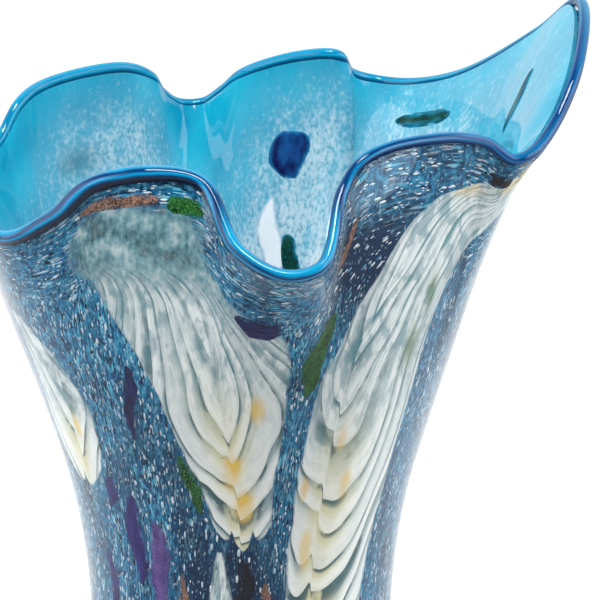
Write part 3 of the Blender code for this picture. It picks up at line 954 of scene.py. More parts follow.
def plate_mesh(name, grid, inwards, proud, material, **extra):
    """A closed lens-shaped plate; it faces into the vase when inwards is true."""
    points, normals, places, along, across, border = grid
    facing = -normals if inwards else normals
    swell = np.clip(border / PLATE_SHOULDER, 0.0, 1.0)
    swell = (swell * (2 - swell))[..., None]
    top = points + facing * (swell * (proud + PLATE_DIP) - PLATE_DIP)
    belly = points - facing * (PLATE_DIP + swell * PLATE_BELLY)
    rows, columns = border.shape
    number = np.arange(rows * columns).reshape(rows, columns)
    faces = []
    for i in range(rows - 1):
        for j in range(columns - 1):
            quad = (number[i, j], number[i, j + 1], number[i + 1, j + 1], number[i + 1, j])
            faces.append(tuple(int(k) for k in quad))
            faces.append(tuple(int(k) + rows * columns for k in quad[::-1]))
    rim = [*number[0], *number[1:, -1], *number[-1, -2::-1], *number[-2:0:-1, 0]]
    for here, there in zip(rim, rim[1:] + rim[:1]):
        here, there = int(here), int(there)
        faces.append((there, here, here + rows * columns, there + rows * columns))
    both = {"along": along, "across": across, "border": border / MM, **extra}
    both = {key: np.tile(values.ravel(), 2) for key, values in both.items()}
    vertices = np.vstack([top.reshape(-1, 3), belly.reshape(-1, 3)])
    straight = np.tile(places.reshape(-1, 3), (2, 1))
    return new_mesh(name, vertices, faces, material, straight=straight, **both)


# %% [markdown]
# ## The feather shards
# Feather glass is made ahead: trails of white are laid on a sheet and combed with a hook, so they hang in
# nested bows. Broken shards of it are picked up by the bubble. On each plate the comb's bows are a number
# that falls away from the spine, and the finish turns that number into overlapping strokes with a soft
# shadow under each. A few strokes took up gold or green, and the tops of some shards melted into a smoky
# grey.

# %% Outlines of the feathers
# Rows: per cent of the way to the lip, then the turns of the left and right edge.
FEATHERS = {
    "feather_front_left": [
        (54.4, -97.0, -79.8),
        (58.2, -98.2, -79.4),
        (60.9, -99.6, -79.6),
        (66.6, -105.0, -78.5),
        (71.1, -108.5, -77.8),
        (75.7, -111.6, -77.7),
        (81.0, -116.4, -77.8),
        (83.5, -119.2, -78.2),
        (85.8, -121.5, -79.0),
        (88.2, -123.6, -84.0),
        (89.8, -127.0, -90.0),
        (91.5, -128.6, -94.6),
        (94.7, -129.0, -95.8),
        (96.4, -124.5, -98.0),
        (97.2, -113.6, -104.0),
    ],
    "feather_front_right": [
        (40.1, -64.0, -50.0),
        (46.7, -71.5, -39.5),
        (53.0, -72.1, -37.7),
        (58.8, -71.5, -36.0),
        (65.1, -70.9, -36.0),
        (70.4, -69.8, -36.3),
        (76.9, -67.9, -37.1),
        (80.5, -64.2, -36.6),
        (84.1, -61.2, -34.8),
        (87.1, -56.7, -32.3),
        (89.7, -53.1, -30.0),
        (91.6, -49.9, -26.8),
        (93.0, -46.3, -22.5),
        (94.3, -41.3, -20.5),
        (95.1, -34.5, -19.5),
        (96.6, -29.0, -20.0),
        (97.8, -26.0, -21.0),
    ],
    "feather_left_side": [
        (59.4, -156.0, -143.5),
        (61.0, -157.5, -140.2),
        (63.9, -160.2, -137.3),
        (67.4, -160.5, -135.3),
        (71.4, -158.0, -135.3),
        (74.9, -156.2, -138.1),
        (78.4, -155.5, -141.8),
        (80.6, -155.9, -145.0),
        (83.5, -156.0, -151.5),
    ],
    "feather_low_front": [
        (35.3, -98.0, -94.5),
        (41.9, -102.0, -91.0),
        (49.0, -100.0, -93.2),
        (53.0, -97.8, -95.2),
        (54.8, -96.4, -96.0),
    ],
    "feather_back_right": [
        (44.9, 22.0, 30.0),
        (53.9, 15.0, 41.0),
        (67.4, 12.0, 44.0),
        (78.4, 18.0, 38.0),
    ],
    "feather_back": [
        (47.9, 94.0, 101.0),
        (57.5, 85.0, 111.0),
        (69.5, 84.0, 113.0),
        (79.0, 91.0, 107.0),
    ],
    "feather_back_left": [
        (41.3, 152.0, 160.0),
        (52.4, 145.0, 171.0),
        (66.5, 142.0, 174.0),
        (77.8, 150.0, 167.0),
    ],
    "feather_low_right": [
        (13.8, -34.0, -27.0),
        (22.5, -42.0, -18.0),
        (33.5, -38.0, -22.0),
        (37.4, -33.0, -27.0),
    ],
    "feather_low_left": [
        (15.6, -139.0, -132.0),
        (24.0, -147.0, -124.0),
        (36.5, -143.0, -127.0),
        (41.3, -138.0, -132.0),
    ],
    "feather_low_back": [
        (17.4, 66.0, 72.0),
        (26.9, 57.0, 81.0),
        (38.3, 61.0, 78.0),
        (42.5, 67.0, 73.0),
    ],
}

# Strokes up the shard, the share of its height that they bend in, strokes to a cm across and where the spine
# lies across, both at the foot and at the top, lobes of the foot, and how much of the top is smoky.
COMBING = {
    "feather_front_left": (24.0, 0.32, (0.5, 5.0), (-0.10, 0.05), 3, 0.42),
    "feather_front_right": (22.0, 0.60, (0.9, 3.2), (-0.42, -0.60), 3, 0.0),
    "feather_left_side": (6.0, 0.60, (1.0, 1.6), (0.1, 0.3), 2, 0.0),
    "feather_low_front": (6.0, 0.50, (1.2, 1.8), (0.0, 0.0), 2, 0.0),
}
PLAIN_COMBING = (12.0, 0.40, (1.2, 2.2), (0.05, -0.05), 3, 0.15)
print("shards:", len(FEATHERS), "of which", len(COMBING), "are combed in their own way")

# %% Stains on the feathers
# Shard, turn, per cent of the way to the lip, half height and half width in mm.
GOLD_STAINS = [
    ("feather_front_left", -84.5, 74.0, 14.0, 3.5),
    ("feather_front_left", -91.5, 65.0, 12.0, 4.0),
    ("feather_front_left", -88.0, 60.5, 9.0, 4.0),
    ("feather_front_right", -59.0, 68.5, 11.0, 3.0),
    ("feather_front_right", -54.5, 62.5, 10.0, 3.0),
    ("feather_front_right", -66.5, 54.5, 14.0, 2.6),
    ("feather_front_right", -69.0, 62.0, 16.0, 2.0),
    ("feather_front_right", -25.5, 97.0, 6.0, 6.0),
    ("feather_front_right", -35.0, 95.2, 4.0, 9.0),
    ("feather_left_side", -143.0, 68.5, 12.0, 2.0),
    ("feather_back", 99.0, 63.0, 12.0, 3.5),
    ("feather_back_right", 30.0, 60.0, 12.0, 3.0),
    ("feather_low_left", -135.0, 28.0, 9.0, 3.0),
]
GREEN_STAINS = [
    ("feather_front_right", -42.5, 78.0, 14.0, 3.0),
    ("feather_front_right", -39.5, 84.0, 10.0, 2.4),
    ("feather_back_left", 160.0, 62.0, 12.0, 2.6),
    ("feather_low_right", -30.0, 25.0, 9.0, 2.4),
]


def stain(name, stains, points, heights):
    """How stained each point of a shard is, from soft spots."""
    amount = np.zeros(heights.shape)
    for shard, turn, way, tall, wide in stains:
        if shard == name:
            middle = on_wall(way * PER_CENT, np.array([math.radians(turn)]), SPECKLE_OUTSIDE)[0][0]
            rise = (heights - way * PER_CENT) / (tall * MM)
            aside = np.linalg.norm((points - middle)[..., :2], axis=-1) / (wide * MM)
            amount = np.maximum(amount, np.exp(-(rise**2) - aside**2))
    return amount


print("gold stains:", len(GOLD_STAINS), "and green ones:", len(GREEN_STAINS))

# %% [markdown]
# ## The finish of the feathers
# The number that the comb left on a plate grows by one from each stroke to the next, so its fraction says
# how far across a stroke a point lies. A ramp paints the stroke with it: white at the lower edge, painted
# shade above, up to a broken dark line of painted shadow where the next one begins. Thin layers of colour
# follow, each with a share of its own: fibres and milky patches in the upper half, then cream, glimpses of
# teal, and the stains.

# %% Strokes of a feather
# Across one stroke, from its lower edge up: the trail's white, then painted shade, and a painted shadow at the
# top.
STROKE_WITH_SHADE = [
    (0.00, 0.86, 0.88, 0.85),
    (0.12, 0.98, 0.98, 0.95),
    (0.45, 0.96, 0.96, 0.93),
    (0.70, 0.72, 0.76, 0.74),
    (0.88, 0.40, 0.48, 0.49),
    (1.00, 0.20, 0.29, 0.31),
]
VEIL = (0.76, 0.82, 0.83)
FIBRE_GREY = (0.22, 0.36, 0.39)
THREAD_GREY = (0.26, 0.39, 0.42)
THREAD_WHITE = (0.98, 0.98, 0.96)
SUNK_BLUE = (0.14, 0.30, 0.36)
MILK = (0.84, 0.88, 0.88)
# Cells of the patterns in mm.
WOBBLE = (22.0, 22.0, 50.0)
MOTTLE = (3.2, 3.2, 7.0)


def drawn_out(tree, phase, fine, short):
    """A noise drawn out along the strokes: fine across them, and short or long on the way."""
    across = times(tree, attribute(tree, "across"), 0.5 * short)
    along = times(tree, attribute(tree, "along"), 2.5 * short)
    lines = {"X": times(tree, phase, fine), "Y": across, "Z": along}
    sockets = {"Vector": add(tree, "ShaderNodeCombineXYZ", lines).outputs[0], "Scale": 1.0, "Detail": 3.0}
    return add(tree, "ShaderNodeTexNoise", sockets).outputs["Fac"]


def stroke_number(tree, place, high):
    """The comb's number, made a little uneven and wavy, most of all in the lower half."""
    wave = maths(tree, "SUBTRACT", noise(tree, place, WOBBLE, 1.0), 0.5)
    wave = times(tree, wave, scaled(tree, high, -1.2, 2.0))
    phase = maths(tree, "ADD", wave, attribute(tree, "comb"))
    uneven = add(tree, "ShaderNodeTexNoise", {"W": phase, "Scale": 0.8, "Detail": 0.0}, noise_dimensions="1D")
    return scaled(tree, uneven.outputs["Fac"], 0.9, phase)


def upper_half_layers(tree, place, phase, high):
    """Share and colour of the veil, the fibres, the threads and the milky patches."""
    fibrous = scaled(tree, high, 0.24, 0.10)
    fibre = drawn_out(tree, phase, 4.0, 4.0)
    thread = drawn_out(tree, phase, 10.0, 8.0)
    mottle = noise(tree, place, MOTTLE, 4.0)
    return [
        (times(tree, high, 0.30), VEIL),
        (times(tree, ease(tree, fibre, 0.47, 0.63), fibrous), FIBRE_GREY),
        (times(tree, ease(tree, thread, 0.50, 0.62), fibrous), THREAD_GREY),
        (times(tree, ease(tree, thread, 0.48, 0.36), fibrous), THREAD_WHITE),
        (times(tree, ease(tree, mottle, 0.50, 0.64), times(tree, high, 0.62)), SUNK_BLUE),
        (times(tree, ease(tree, mottle, 0.49, 0.36), times(tree, high, 0.60)), MILK),
    ]


print("tones across a stroke:", len(STROKE_WITH_SHADE))

# %% Shades, stains and smoke of a feather
DULL_GREY = (0.30, 0.41, 0.42)
CREAM = (0.80, 0.72, 0.40)
# Painted shadow: the broken dark line under the edge of each overlapping stroke.
PAINTED_LINE_SHADOW = (0.05, 0.11, 0.12)
GLIMPSE_TEAL = (0.08, 0.27, 0.31)
GOLD = (0.85, 0.57, 0.12)
LEAF_GREEN = (0.07, 0.17, 0.06)
SMOKE = [
    (0.34, 0.03, 0.09, 0.11),
    (0.45, 0.10, 0.22, 0.26),
    (0.55, 0.20, 0.35, 0.39),
    (0.72, 0.50, 0.58, 0.58),
]
# Cells of the patterns in mm.
SMOKE_CLOUD = (6.5, 6.5, 9.0)
SMOKE_THREAD = (1.3, 1.3, 3.0)
FEATHER_FRAY = (3.0, 3.0, 7.0)


def shade_layers(tree, phase, within, high):
    """Share and colour of dull strokes, cream near the spine, broken lines of painted shadow, teal glimpses
    and stains.
    """
    own = add(tree, "ShaderNodeTexWhiteNoise", {"W": maths(tree, "FLOOR", phase)}, noise_dimensions="1D")
    low = ease(tree, attribute(tree, "along"), 0.55, 0.25)
    near_spine = ease(tree, attribute(tree, "fan"), 0.7, 0.1)
    shaded = ease(tree, within, 0.20, 0.85)
    glimpse = drawn_out(tree, phase, 1.5, 4.0)
    dull = times(tree, ease(tree, own.outputs["Value"], 0.5, 0.0), scaled(tree, high, 0.2, 0.1))
    cream = times(tree, times(tree, near_spine, low), 0.75)
    cream = times(tree, cream, scaled(tree, shaded, 0.7, 0.3))
    broken = ease(tree, scaled(tree, low, 0.06, glimpse), 0.48, 0.58)
    # Painted shadow where the next stroke begins.
    line = times(tree, ease(tree, within, 0.70, 0.96), broken)
    line = times(tree, line, scaled(tree, low, 0.30, 0.65))
    teal = times(tree, ease(tree, glimpse, 0.53, 0.64), scaled(tree, high, 0.6, 0.15))
    gold = ease(tree, swung(tree, glimpse, 1.0, attribute(tree, "gold")), 0.20, 0.85)
    gold = times(tree, gold, scaled(tree, shaded, 0.45, 0.55))
    return [
        (dull, DULL_GREY),
        (cream, CREAM),
        (line, PAINTED_LINE_SHADOW),
        (times(tree, teal, shaded), GLIMPSE_TEAL),
        (times(tree, gold, scaled(tree, high, -0.45, 1.0)), GOLD),
        (times(tree, attribute(tree, "green"), 0.8), LEAF_GREEN),
    ]


def feather_colour(tree):
    """Strokes with painted shade, under layers of colour, a smoky top, and a frayed edge that fades into the
    ground.
    """
    place = wall_place(tree)
    high = ease(tree, attribute(tree, "along"), 0.25, 0.70)
    phase = stroke_number(tree, place, high)
    within = maths(tree, "FRACT", phase)
    # Painted shade and shadow across each stroke; the white is the trail's own.
    colour = ramp(tree, times(tree, within, scaled(tree, high, 0.15, 1.0)), STROKE_WITH_SHADE, "EASE")
    layers = upper_half_layers(tree, place, phase, high) + shade_layers(tree, phase, within, high)
    for share, tint in layers:
        colour = mix(tree, share, colour, tint)
    smoky = attribute(tree, "smoky")
    clouds = noise(tree, place, SMOKE_CLOUD, 6.0)
    smoke = swung(tree, noise(tree, place, SMOKE_THREAD, 4.0), 0.5, clouds)
    drift = ease(tree, swung(tree, clouds, 1.6, smoky), 0.1, 0.95)
    colour = mix(tree, drift, colour, ramp(tree, smoke, SMOKE))
    border = swung(tree, within, 0.9, attribute(tree, "border"))
    border = maths(tree, "DIVIDE", border, scaled(tree, smoky, 3.5, 1.0))
    border = swung(tree, noise(tree, place, FEATHER_FRAY, 3.0), 3.0, border)
    return mix(tree, ease(tree, border, 0.3, 1.9), ground_colour(tree), colour)


feather_finish = new_material("feather_glass", feather_colour, Roughness=0.4, Specular_IOR_Level=0.0)
print("feather finish has", len(feather_finish.node_tree.nodes), "nodes")

# %% Making the feathers
STROKE_RISE = 0.02
SPINE_DIP = 0.12
SPINE_STEP = 0.45
SPINE_WIDTH = 0.04
STRAIGHT_BENDS = 1.5
LOBE_DEPTH = 8.0 * MM
LOBE_LAG = 10.0 * MM
LAG_POWER = 1.5
SMOKE_FADE = 0.3
CM = 10.0 * MM
# Rows and cells across of a shard with a combing of its own, and of a plain one.
FINE_GRID = (150, 64)
PLAIN_GRID = (70, 32)


def feather_rows(stations, count):
    rows = smooth_path(stations, False, count)
    heights = rows[:, 0] * PER_CENT
    reach = np.interp(heights, PROFILE[:, 1], PROFILE[:, 0])
    left = np.radians(rows[:, 1]) - PLATE_MARGIN / reach
    right = np.radians(rows[:, 2]) + PLATE_MARGIN / reach
    return list(zip(heights, left, right))


def combed(grid, strokes, bend, arms, spine):
    """The comb's number at each point, and how far out from the spine the point lies."""
    points, along, across = grid[0], grid[3], grid[4]
    spine = spine[0] + (spine[1] - spine[0]) * along
    half = np.linalg.norm(points[:, -1] - points[:, 0], axis=1)[:, None] / 2
    reach = half * np.where(across > spine, 1 - spine, 1 + spine)
    arms = (arms[0] + (arms[1] - arms[0]) * along**2) * reach / CM
    fan = np.abs(across - spine) * half / reach
    scoop = fan * (fan - 2 * SPINE_DIP) / (1 - 2 * SPINE_DIP)
    straight = np.clip(along / bend / STRAIGHT_BENDS, 0.0, 1.0)
    bow = scoop + (fan - scoop) * straight
    rise = bend * (1 - np.exp(-along / bend)) + STROKE_RISE * along
    step = SPINE_STEP * np.clip((across - spine) / SPINE_WIDTH, 0.0, 1.0)
    return strokes * rise - arms * bow + step, fan


def round_toes(grid, lobes):
    """Distance from the outline of a shard whose foot ends in round toes, the middle one foremost."""
    points, along, across, border = grid[0], *grid[3:]
    length = np.linalg.norm(points[-1] - points[0], axis=-1).max()
    toe = 2.0 * (0.5 * lobes * (across + 1) % 1.0) - 1.0
    notches = LOBE_DEPTH * (1.0 - np.sqrt(1.0 - toe**2))
    notches = notches + LOBE_LAG * np.abs(across) ** LAG_POWER
    return np.minimum(border, along * length - notches)


def feather(name, stations):
    *comb_sizes, lobes, smoky_top = COMBING.get(name, PLAIN_COMBING)
    row_count, cell_count = FINE_GRID if name in COMBING else PLAIN_GRID
    rows = feather_rows(stations, row_count)
    grid = plate_grid(rows, SPECKLE_OUTSIDE, cell_count)
    comb, fan = combed(grid, *comb_sizes)
    grid = (*grid[:5], round_toes(grid, lobes))
    along = grid[3]
    smoky = np.clip((along - 1.0 + smoky_top) / SMOKE_FADE, 0.0, 1.0) if smoky_top else np.zeros(along.shape)
    heights = np.repeat(np.array([row[0] for row in rows])[:, None], along.shape[1], axis=1)
    gold = stain(name, GOLD_STAINS, grid[0], heights)
    green = stain(name, GREEN_STAINS, grid[0], heights)
    colours = {"comb": comb, "fan": fan, "smoky": smoky, "gold": gold, "green": green}
    mesh = plate_mesh(name + "_shard", grid, False, PLATE_PROUD, feather_finish, **colours)
    new_piece(mesh, "feather_glass", name)


for name, stations in FEATHERS.items():
    feather(name, stations)

# %% [markdown]
# ## Chips and streaks
# Between the feathers lie small chips of strong colour, and streaks of glass full of metal flakes that
# glitter green or copper. They are the same lens-shaped plates with a rounder outline. The flakes are a
# very fine cell pattern in which a few cells carry a painted glint, and every chip fades into the ground at a
# slightly ragged edge.

# %% Places of the chips
# Turn, per cent of the way to the lip, tall mm, wide mm, lean in degrees.
OUTER_CHIPS = {
    "cobalt_chip_front": (-85.0, 87.2, 13.0, 17.0, 0.0),
    "cobalt_chip_left": (-119.5, 72.8, 32.0, 6.0, 3.0),
    "violet_chip_left": (-135.5, 60.4, 14.0, 6.0, 3.0),
    "violet_chip_mid": (-128.0, 55.0, 38.0, 8.0, 0.0),
    "violet_chip_low": (-143.5, 48.2, 28.0, 5.5, -2.0),
    "mauve_chip_left": (-119.2, 52.1, 38.0, 8.5, 0.0),
    "black_chip_front": (-87.8, 49.4, 27.0, 7.0, 0.0),
    "black_chip_notch": (-28.0, 97.2, 5.0, 8.0, 0.0),
    "green_chip_front": (-70.8, 80.2, 35.0, 9.5, 4.0),
    "green_chip_left": (-104.4, 63.0, 24.0, 6.0, -5.0),
    "green_chip_lip": (-100.9, 96.9, 7.5, 15.0, 0.0),
    "green_chip_low": (-64.0, 25.1, 26.0, 6.0, 3.0),
    "green_chip_back": (128.0, 67.4, 30.0, 6.0, -3.0),
    "cobalt_chip_back": (62.0, 71.9, 34.0, 6.0, 3.0),
    "violet_chip_back": (-172.0, 38.3, 30.0, 6.0, 0.0),
    "copper_streak_lip": (-115.5, 97.2, 5.5, 31.0, 0.0),
    "copper_streak_fold": (-65.5, 93.0, 15.0, 3.6, 6.0),
    "copper_streak_left": (-110.5, 47.9, 24.0, 3.6, 0.0),
    "copper_streak_low": (-80.0, 47.3, 26.0, 3.6, 0.0),
    "amber_streak_ear": (-23.4, 97.4, 8.0, 8.0, 0.0),
}
INNER_CHIPS = {
    "cobalt_dot_inside": (78.0, 89.4, 18.0, 16.5, 0.0),
    "white_patch_inside": (82.2, 80.2, 31.0, 9.5, 2.0),
    "green_fleck_inside": (76.4, 77.5, 19.0, 8.5, 4.0),
    "green_streak_inside": (45.0, 95.4, 5.0, 30.0, 0.0),
    "teal_streak_inside": (4.6, 93.0, 15.0, 7.0, 0.0),
}
CHIP_TAPER = 0.97
# Share by which the top of a chip is wider than its middle, and how uneven its sides are.
CHIP_EGG = {"cobalt_dot_inside": 0.25, "white_patch_inside": -0.35, "cobalt_chip_front": 0.30}
CHIP_UNEVEN = 0.12
UNEVEN_WAVES = 4.0
CHIP_ROWS = 27
CHIP_CELLS = 20
print("chips outside:", len(OUTER_CHIPS), "and inside:", len(INNER_CHIPS))

# %% Finish of the chips
# First word of a chip's name, which can be another glass inside the vase: its slot, dark and light colour,
# and how many of its flakes carry a painted glint.
CHIP_GLASS = {
    "cobalt": ("cobalt_glass", (0.004, 0.006, 0.050), (0.018, 0.022, 0.130), 0.0),
    "cobalt_inside": ("cobalt_glass", (0.006, 0.008, 0.075), (0.012, 0.085, 0.280), 0.0),
    "violet": ("violet_glass", (0.010, 0.008, 0.085), (0.034, 0.024, 0.200), 0.03),
    "mauve": ("mauve_glass", (0.050, 0.030, 0.150), (0.140, 0.085, 0.270), 0.10),
    "black": ("black_glass", (0.002, 0.002, 0.005), (0.010, 0.012, 0.022), 0.02),
    "green": ("green_aventurine", (0.003, 0.018, 0.005), (0.026, 0.135, 0.030), 0.32),
    "green_inside": ("green_aventurine", (0.002, 0.020, 0.020), (0.010, 0.090, 0.066), 0.06),
    "copper": ("copper_aventurine", (0.042, 0.027, 0.023), (0.240, 0.130, 0.090), 0.42),
    "amber": ("amber_glass", (0.240, 0.140, 0.030), (0.620, 0.460, 0.160), 0.05),
    "white": ("white_glass", (0.900, 0.930, 0.940), (0.940, 0.950, 0.950), 0.0),
    "teal": ("teal_glass", (0.001, 0.040, 0.060), (0.006, 0.130, 0.170), 0.02),
}
INSIDE_GLOSS = 0.1
HALO_BLUE = (0.008, 0.26, 0.46)
HALO_SHARE = 0.6
HALO_EDGE = (0.1, 1.2)
# Cells of the patterns in mm; tone and fray first for a chip that stands, then for one that lies.
FLAKES = (0.25, 0.25, 0.3)
CHIP_TONE = ((3.0, 3.0, 8.0), (6.0, 6.0, 2.0))
CHIP_FRAY = ((2.0, 2.0, 5.0), (4.0, 4.0, 1.6))
# By whether a chip is inside and whether it lies: how ragged its edge is, and the mm in which it fades.
CHIP_EDGE = {
    (False, False): (7.0, 0.2, 2.0),
    (False, True): (7.0, 0.2, 2.8),
    (True, False): (3.5, 0.7, 2.6),
    (True, True): (5.5, 0.7, 3.6),
}


def chip_look(word, inwards):
    return CHIP_GLASS.get(word + "_inside" if inwards else word, CHIP_GLASS[word])


def chip_colour(tree, word, inwards, lying):
    """Flakes in a cloudy tone, a few with a painted glint, and an edge that frays into the glass around it."""
    dark, light, glitter = chip_look(word, inwards)[1:]
    ragged, start, end = CHIP_EDGE[inwards, lying]
    place = wall_place(tree)
    colour = mix(tree, ease(tree, noise(tree, place, CHIP_TONE[lying], 3.0), 0.30, 0.70), dark, light)
    flake = cell_numbers(tree, place, FLAKES)
    # Painted glint: the few flake cells that glitter are painted brighter than the glass.
    bright = tuple(min(1.0, 2.0 * channel) for channel in light)
    colour = mix(tree, ease(tree, flake, 1.0 - glitter, 1.01 - 0.5 * glitter), colour, bright)
    colour = mix(tree, times(tree, ease(tree, flake, glitter, 0.5 * glitter), 0.8), colour, dark)
    border = swung(tree, noise(tree, place, CHIP_FRAY[lying], 4.0), ragged, attribute(tree, "border"))
    around = lining_colour(tree) if inwards else ground_colour(tree)
    if inwards:
        halo = tuple((1.0 - HALO_SHARE) * chip + HALO_SHARE * blue for chip, blue in zip(light, HALO_BLUE))
        around = mix(tree, ease(tree, border, *HALO_EDGE), around, halo)
    return mix(tree, ease(tree, border, start, end), around, colour)


def chip_glass(word, inwards, lying):
    """The glass of a chip; one that lies along the lip is drawn out sideways, and any other one upwards."""
    name = chip_look(word, inwards)[0] + ("_inside" if inwards else "") + ("_lying" if lying else "")
    gloss = INSIDE_GLOSS if inwards else 0.0

    def colour_of(tree):
        return chip_colour(tree, word, inwards, lying)

    return new_material(name, colour_of, Roughness=0.2, Specular_IOR_Level=gloss)


print("looks of chip glass:", len(CHIP_GLASS))

# %% Making the chips
chip_finishes = {}


def chip_rows(name, shape, face):
    """Rows of a chip: an oval with uneven sides that may lean, and may be wider above or below."""
    turn, way, tall, wide, lean = shape
    height = way * PER_CENT
    middle = on_wall(height, np.array([math.radians(turn)]), face)[0][0]
    reach = math.hypot(middle[0], middle[1])
    half_wide = 0.5 * (wide * MM + PLATE_MARGIN) / reach
    half_tall = 0.5 * (tall * MM + PLATE_MARGIN)
    sway = CHIP_UNEVEN * min(wide, 0.4 * tall) * MM / reach
    egg = CHIP_EGG.get(name, 0.0)
    rows = []
    for s in np.linspace(-1.0, 1.0, CHIP_ROWS):
        half = half_wide * math.sqrt(1.0 - CHIP_TAPER * s * s) * (1.0 + egg * s)
        centre = math.radians(turn + 0.5 * lean * s) + sway * math.sin(UNEVEN_WAVES * s + turn)
        rows.append((height + half_tall * s, centre - half, centre + half))
    return rows


def chip(name, shape, inwards):
    face = LINING_INSIDE if inwards else SPECKLE_OUTSIDE
    word = name.split("_")[0]
    tall, wide = shape[2:4]
    kind = (word, inwards, wide > tall)
    if kind not in chip_finishes:
        chip_finishes[kind] = chip_glass(*kind)
    grid = plate_grid(chip_rows(name, shape, face), face, CHIP_CELLS)
    mesh = plate_mesh(name + "_glass", grid, inwards, CHIP_PROUD, chip_finishes[kind])
    new_piece(mesh, CHIP_GLASS[word][0], name)


for chips, inwards in ((OUTER_CHIPS, False), (INNER_CHIPS, True)):
    for name, shape in chips.items():
        chip(name, shape, inwards)

# %% [markdown]
# ## Frit grains
# Frit is crushed glass. Each grain that the bubble picked up is a separate thing with its own edge, pulled
# out into a dash, so the larger ones are real geometry. Geometry Nodes scatter points over the speckled
# layer, thinly where a shard or chip covers it, and set a small ball on each one, drawn out along the flow
# of the glass: up the wall, turning to run along the lip in the folds.

# %% Where grains lie and how they flow
SHARD_SHARE = 0.06
FLOW_TURNS = (276.0 * MM, 312.0 * MM)
OUTLINE_ROWS = 60
# A turn in degrees that no edge of a shard reaches.
NO_TURN = 999.0


def covered(points, heights):
    """True where a shard or a chip covers the speckled layer."""
    turns = np.degrees(np.arctan2(points[..., 1], points[..., 0]))
    inside = np.zeros(turns.shape, dtype=bool)
    for stations in FEATHERS.values():
        rows = np.array(feather_rows(stations, OUTLINE_ROWS))
        left = np.interp(heights, rows[:, 0], np.degrees(rows[:, 1]), left=NO_TURN)[:, None]
        right = np.interp(heights, rows[:, 0], np.degrees(rows[:, 2]), right=-NO_TURN)[:, None]
        inside |= (turns - left) % 360.0 < np.maximum(right - left, 0.0)
    reach = np.hypot(points[..., 0], points[..., 1])
    for turn, way, tall, wide, _ in OUTER_CHIPS.values():
        apart = np.radians(np.abs((turns - turn + 180.0) % 360.0 - 180.0))
        aside = apart * reach / (0.5 * wide * MM)
        above = np.abs(heights[:, None] - way * PER_CENT) / (0.5 * tall * MM)
        inside |= aside**2 + above**2 < 1.0
    return inside


def grain_bed():
    """The speckled layer's outer face as a sheet that carries the flow and the share of grains."""
    points = np.array(side_rings(SPECKLE_OUTSIDE, FINE_ROWS)[0])
    up = unit(np.gradient(points, axis=0))
    round_lip = unit(np.roll(points, -1, axis=1) - np.roll(points, 1, axis=1))
    turn = np.clip((FINE_ROWS - FLOW_TURNS[0]) / (FLOW_TURNS[1] - FLOW_TURNS[0]), 0.0, 1.0)[:, None, None]
    flow = unit(up * (1.0 - turn) + round_lip * turn)
    share = np.where(covered(points, FINE_ROWS), SHARD_SHARE, 1.0)
    sheet = bpy.data.meshes.new("grain_bed")
    sheet.from_pydata(points.reshape(-1, 3).tolist(), [], bridge(list(points)))
    write_attribute(sheet, "flow", flow.reshape(-1, 3))
    write_attribute(sheet, "share", share.ravel())
    print("share of the wall that is open ground:", round(float((share == 1.0).mean()), 2))
    return sheet


bed = grain_bed()

# %% Geometry Nodes that scatter grains
GRAIN_THICKNESS = 0.5 * MM
# Most grains are small: luck to this power, times a spread, on top of the smallest share of the full size.
LUCK_POWER = 3.0
LUCK_SPREAD = 0.9
SMALLEST = 0.45
WIDTH_SPREAD = (0.8, 1.5)
LUCK_SEED, WIDTH_SEED, TINT_SEED = 3, 4, 5


def random_between(tree, low, high, seed):
    sockets = {"Min": low, "Max": high, "Seed": seed}
    return add(tree, "FunctionNodeRandomValue", sockets, data_type="FLOAT").outputs["Value"]


def grain_size(tree, given):
    """Length, width and thickness of a grain, each grain's own."""
    luck = maths(tree, "POWER", random_between(tree, 0.0, 1.0, LUCK_SEED), LUCK_POWER)
    large = scaled(tree, luck, LUCK_SPREAD, SMALLEST)
    wide = times(tree, large, random_between(tree, *WIDTH_SPREAD, WIDTH_SEED))
    sizes = {"X": times(tree, given["Length"], large), "Y": times(tree, given["Width"], wide)}
    return add(tree, "ShaderNodeCombineXYZ", {**sizes, "Z": given["Thickness"]}).outputs[0]


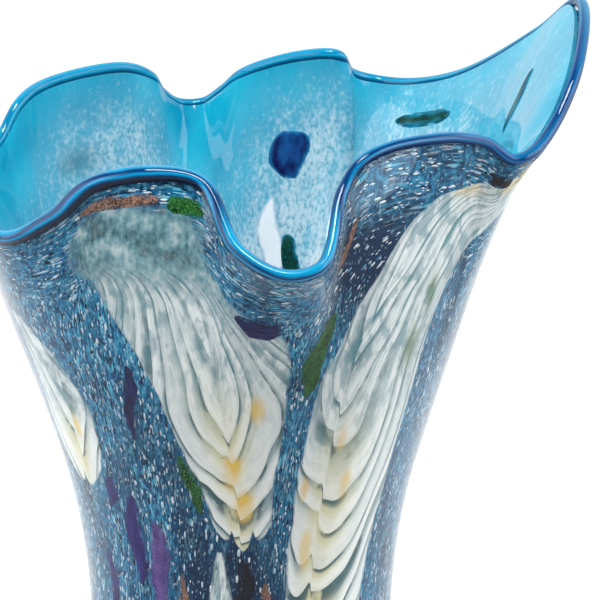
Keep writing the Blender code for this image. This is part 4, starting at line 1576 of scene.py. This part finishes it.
def scatter_tree():
    """Geometry Nodes that scatter drawn-out grains over a sheet."""
    numbers = {"Density": "Float", "Length": "Float", "Width": "Float", "Thickness": "Float", "Seed": "Int"}
    tree, sockets, given = new_tree("scatter_grains", **numbers, Material="Material")
    density = times(tree, stored(tree, "share"), given["Density"])
    spread = {"Mesh": given["Geometry"], "Density": density, "Seed": given["Seed"]}
    spots = add(tree, "GeometryNodeDistributePointsOnFaces", spread).outputs
    facing = {"Primary Axis": spots["Normal"], "Secondary Axis": stored(tree, "flow", "FLOAT_VECTOR")}
    turned = add(tree, "FunctionNodeAxesToRotation", facing, primary_axis="Z", secondary_axis="X")
    ball = add(tree, "GeometryNodeMeshIcoSphere", {"Radius": 0.5, "Subdivisions": 1})
    grains = {"Points": spots["Points"], "Instance": ball.outputs[0]}
    grains.update({"Rotation": turned.outputs[0], "Scale": grain_size(tree, given)})
    grains = add(tree, "GeometryNodeInstanceOnPoints", grains)
    tint = {"Geometry": grains.outputs[0], "Name": "tint", "Value": random_between(tree, 0.0, 1.0, TINT_SEED)}
    tinted = add(tree, "GeometryNodeStoreNamedAttribute", tint, data_type="FLOAT", domain="INSTANCE")
    hand_over(tree, tinted.outputs[0], given["Material"])
    return tree, sockets


scatter = scatter_tree()
print("inputs of the scatter:", ", ".join(scatter[1]))

# %% The three kinds of grain
# Name, grains per square metre, length and width in mm, then the colour at each end of its tint.
GRAINS = [
    ("frit_white", 82000.0, 3.0, 0.75, (0.54, 0.68, 0.75), (0.92, 0.94, 0.95)),
    ("frit_sky", 34000.0, 2.8, 0.6, (0.05, 0.26, 0.42), (0.18, 0.48, 0.62)),
    ("frit_navy", 24000.0, 3.2, 0.75, (0.003, 0.006, 0.016), (0.008, 0.030, 0.085)),
]
FIRST_SEED = 11


def frit_glass(name, dark, light):
    def colour_of(tree):
        return mix(tree, attribute(tree, "tint"), dark, light)

    return new_material(name, colour_of, Roughness=0.4, Specular_IOR_Level=0.0)


for seed, (name, density, length, width, dark, light) in enumerate(GRAINS, FIRST_SEED):
    grains = grown(
        name,
        bed.copy(),
        *scatter,
        Density=density,
        Length=length * MM,
        Width=width * MM,
        Thickness=GRAIN_THICKNESS,
        Seed=seed,
        Material=frit_glass(name, dark, light),
    )
    new_piece(grains, "speckled_glass")

# %% [markdown]
# ## Finish
# The view layer is brought up to date.

# %% Finish
bpy.context.view_layer.update()
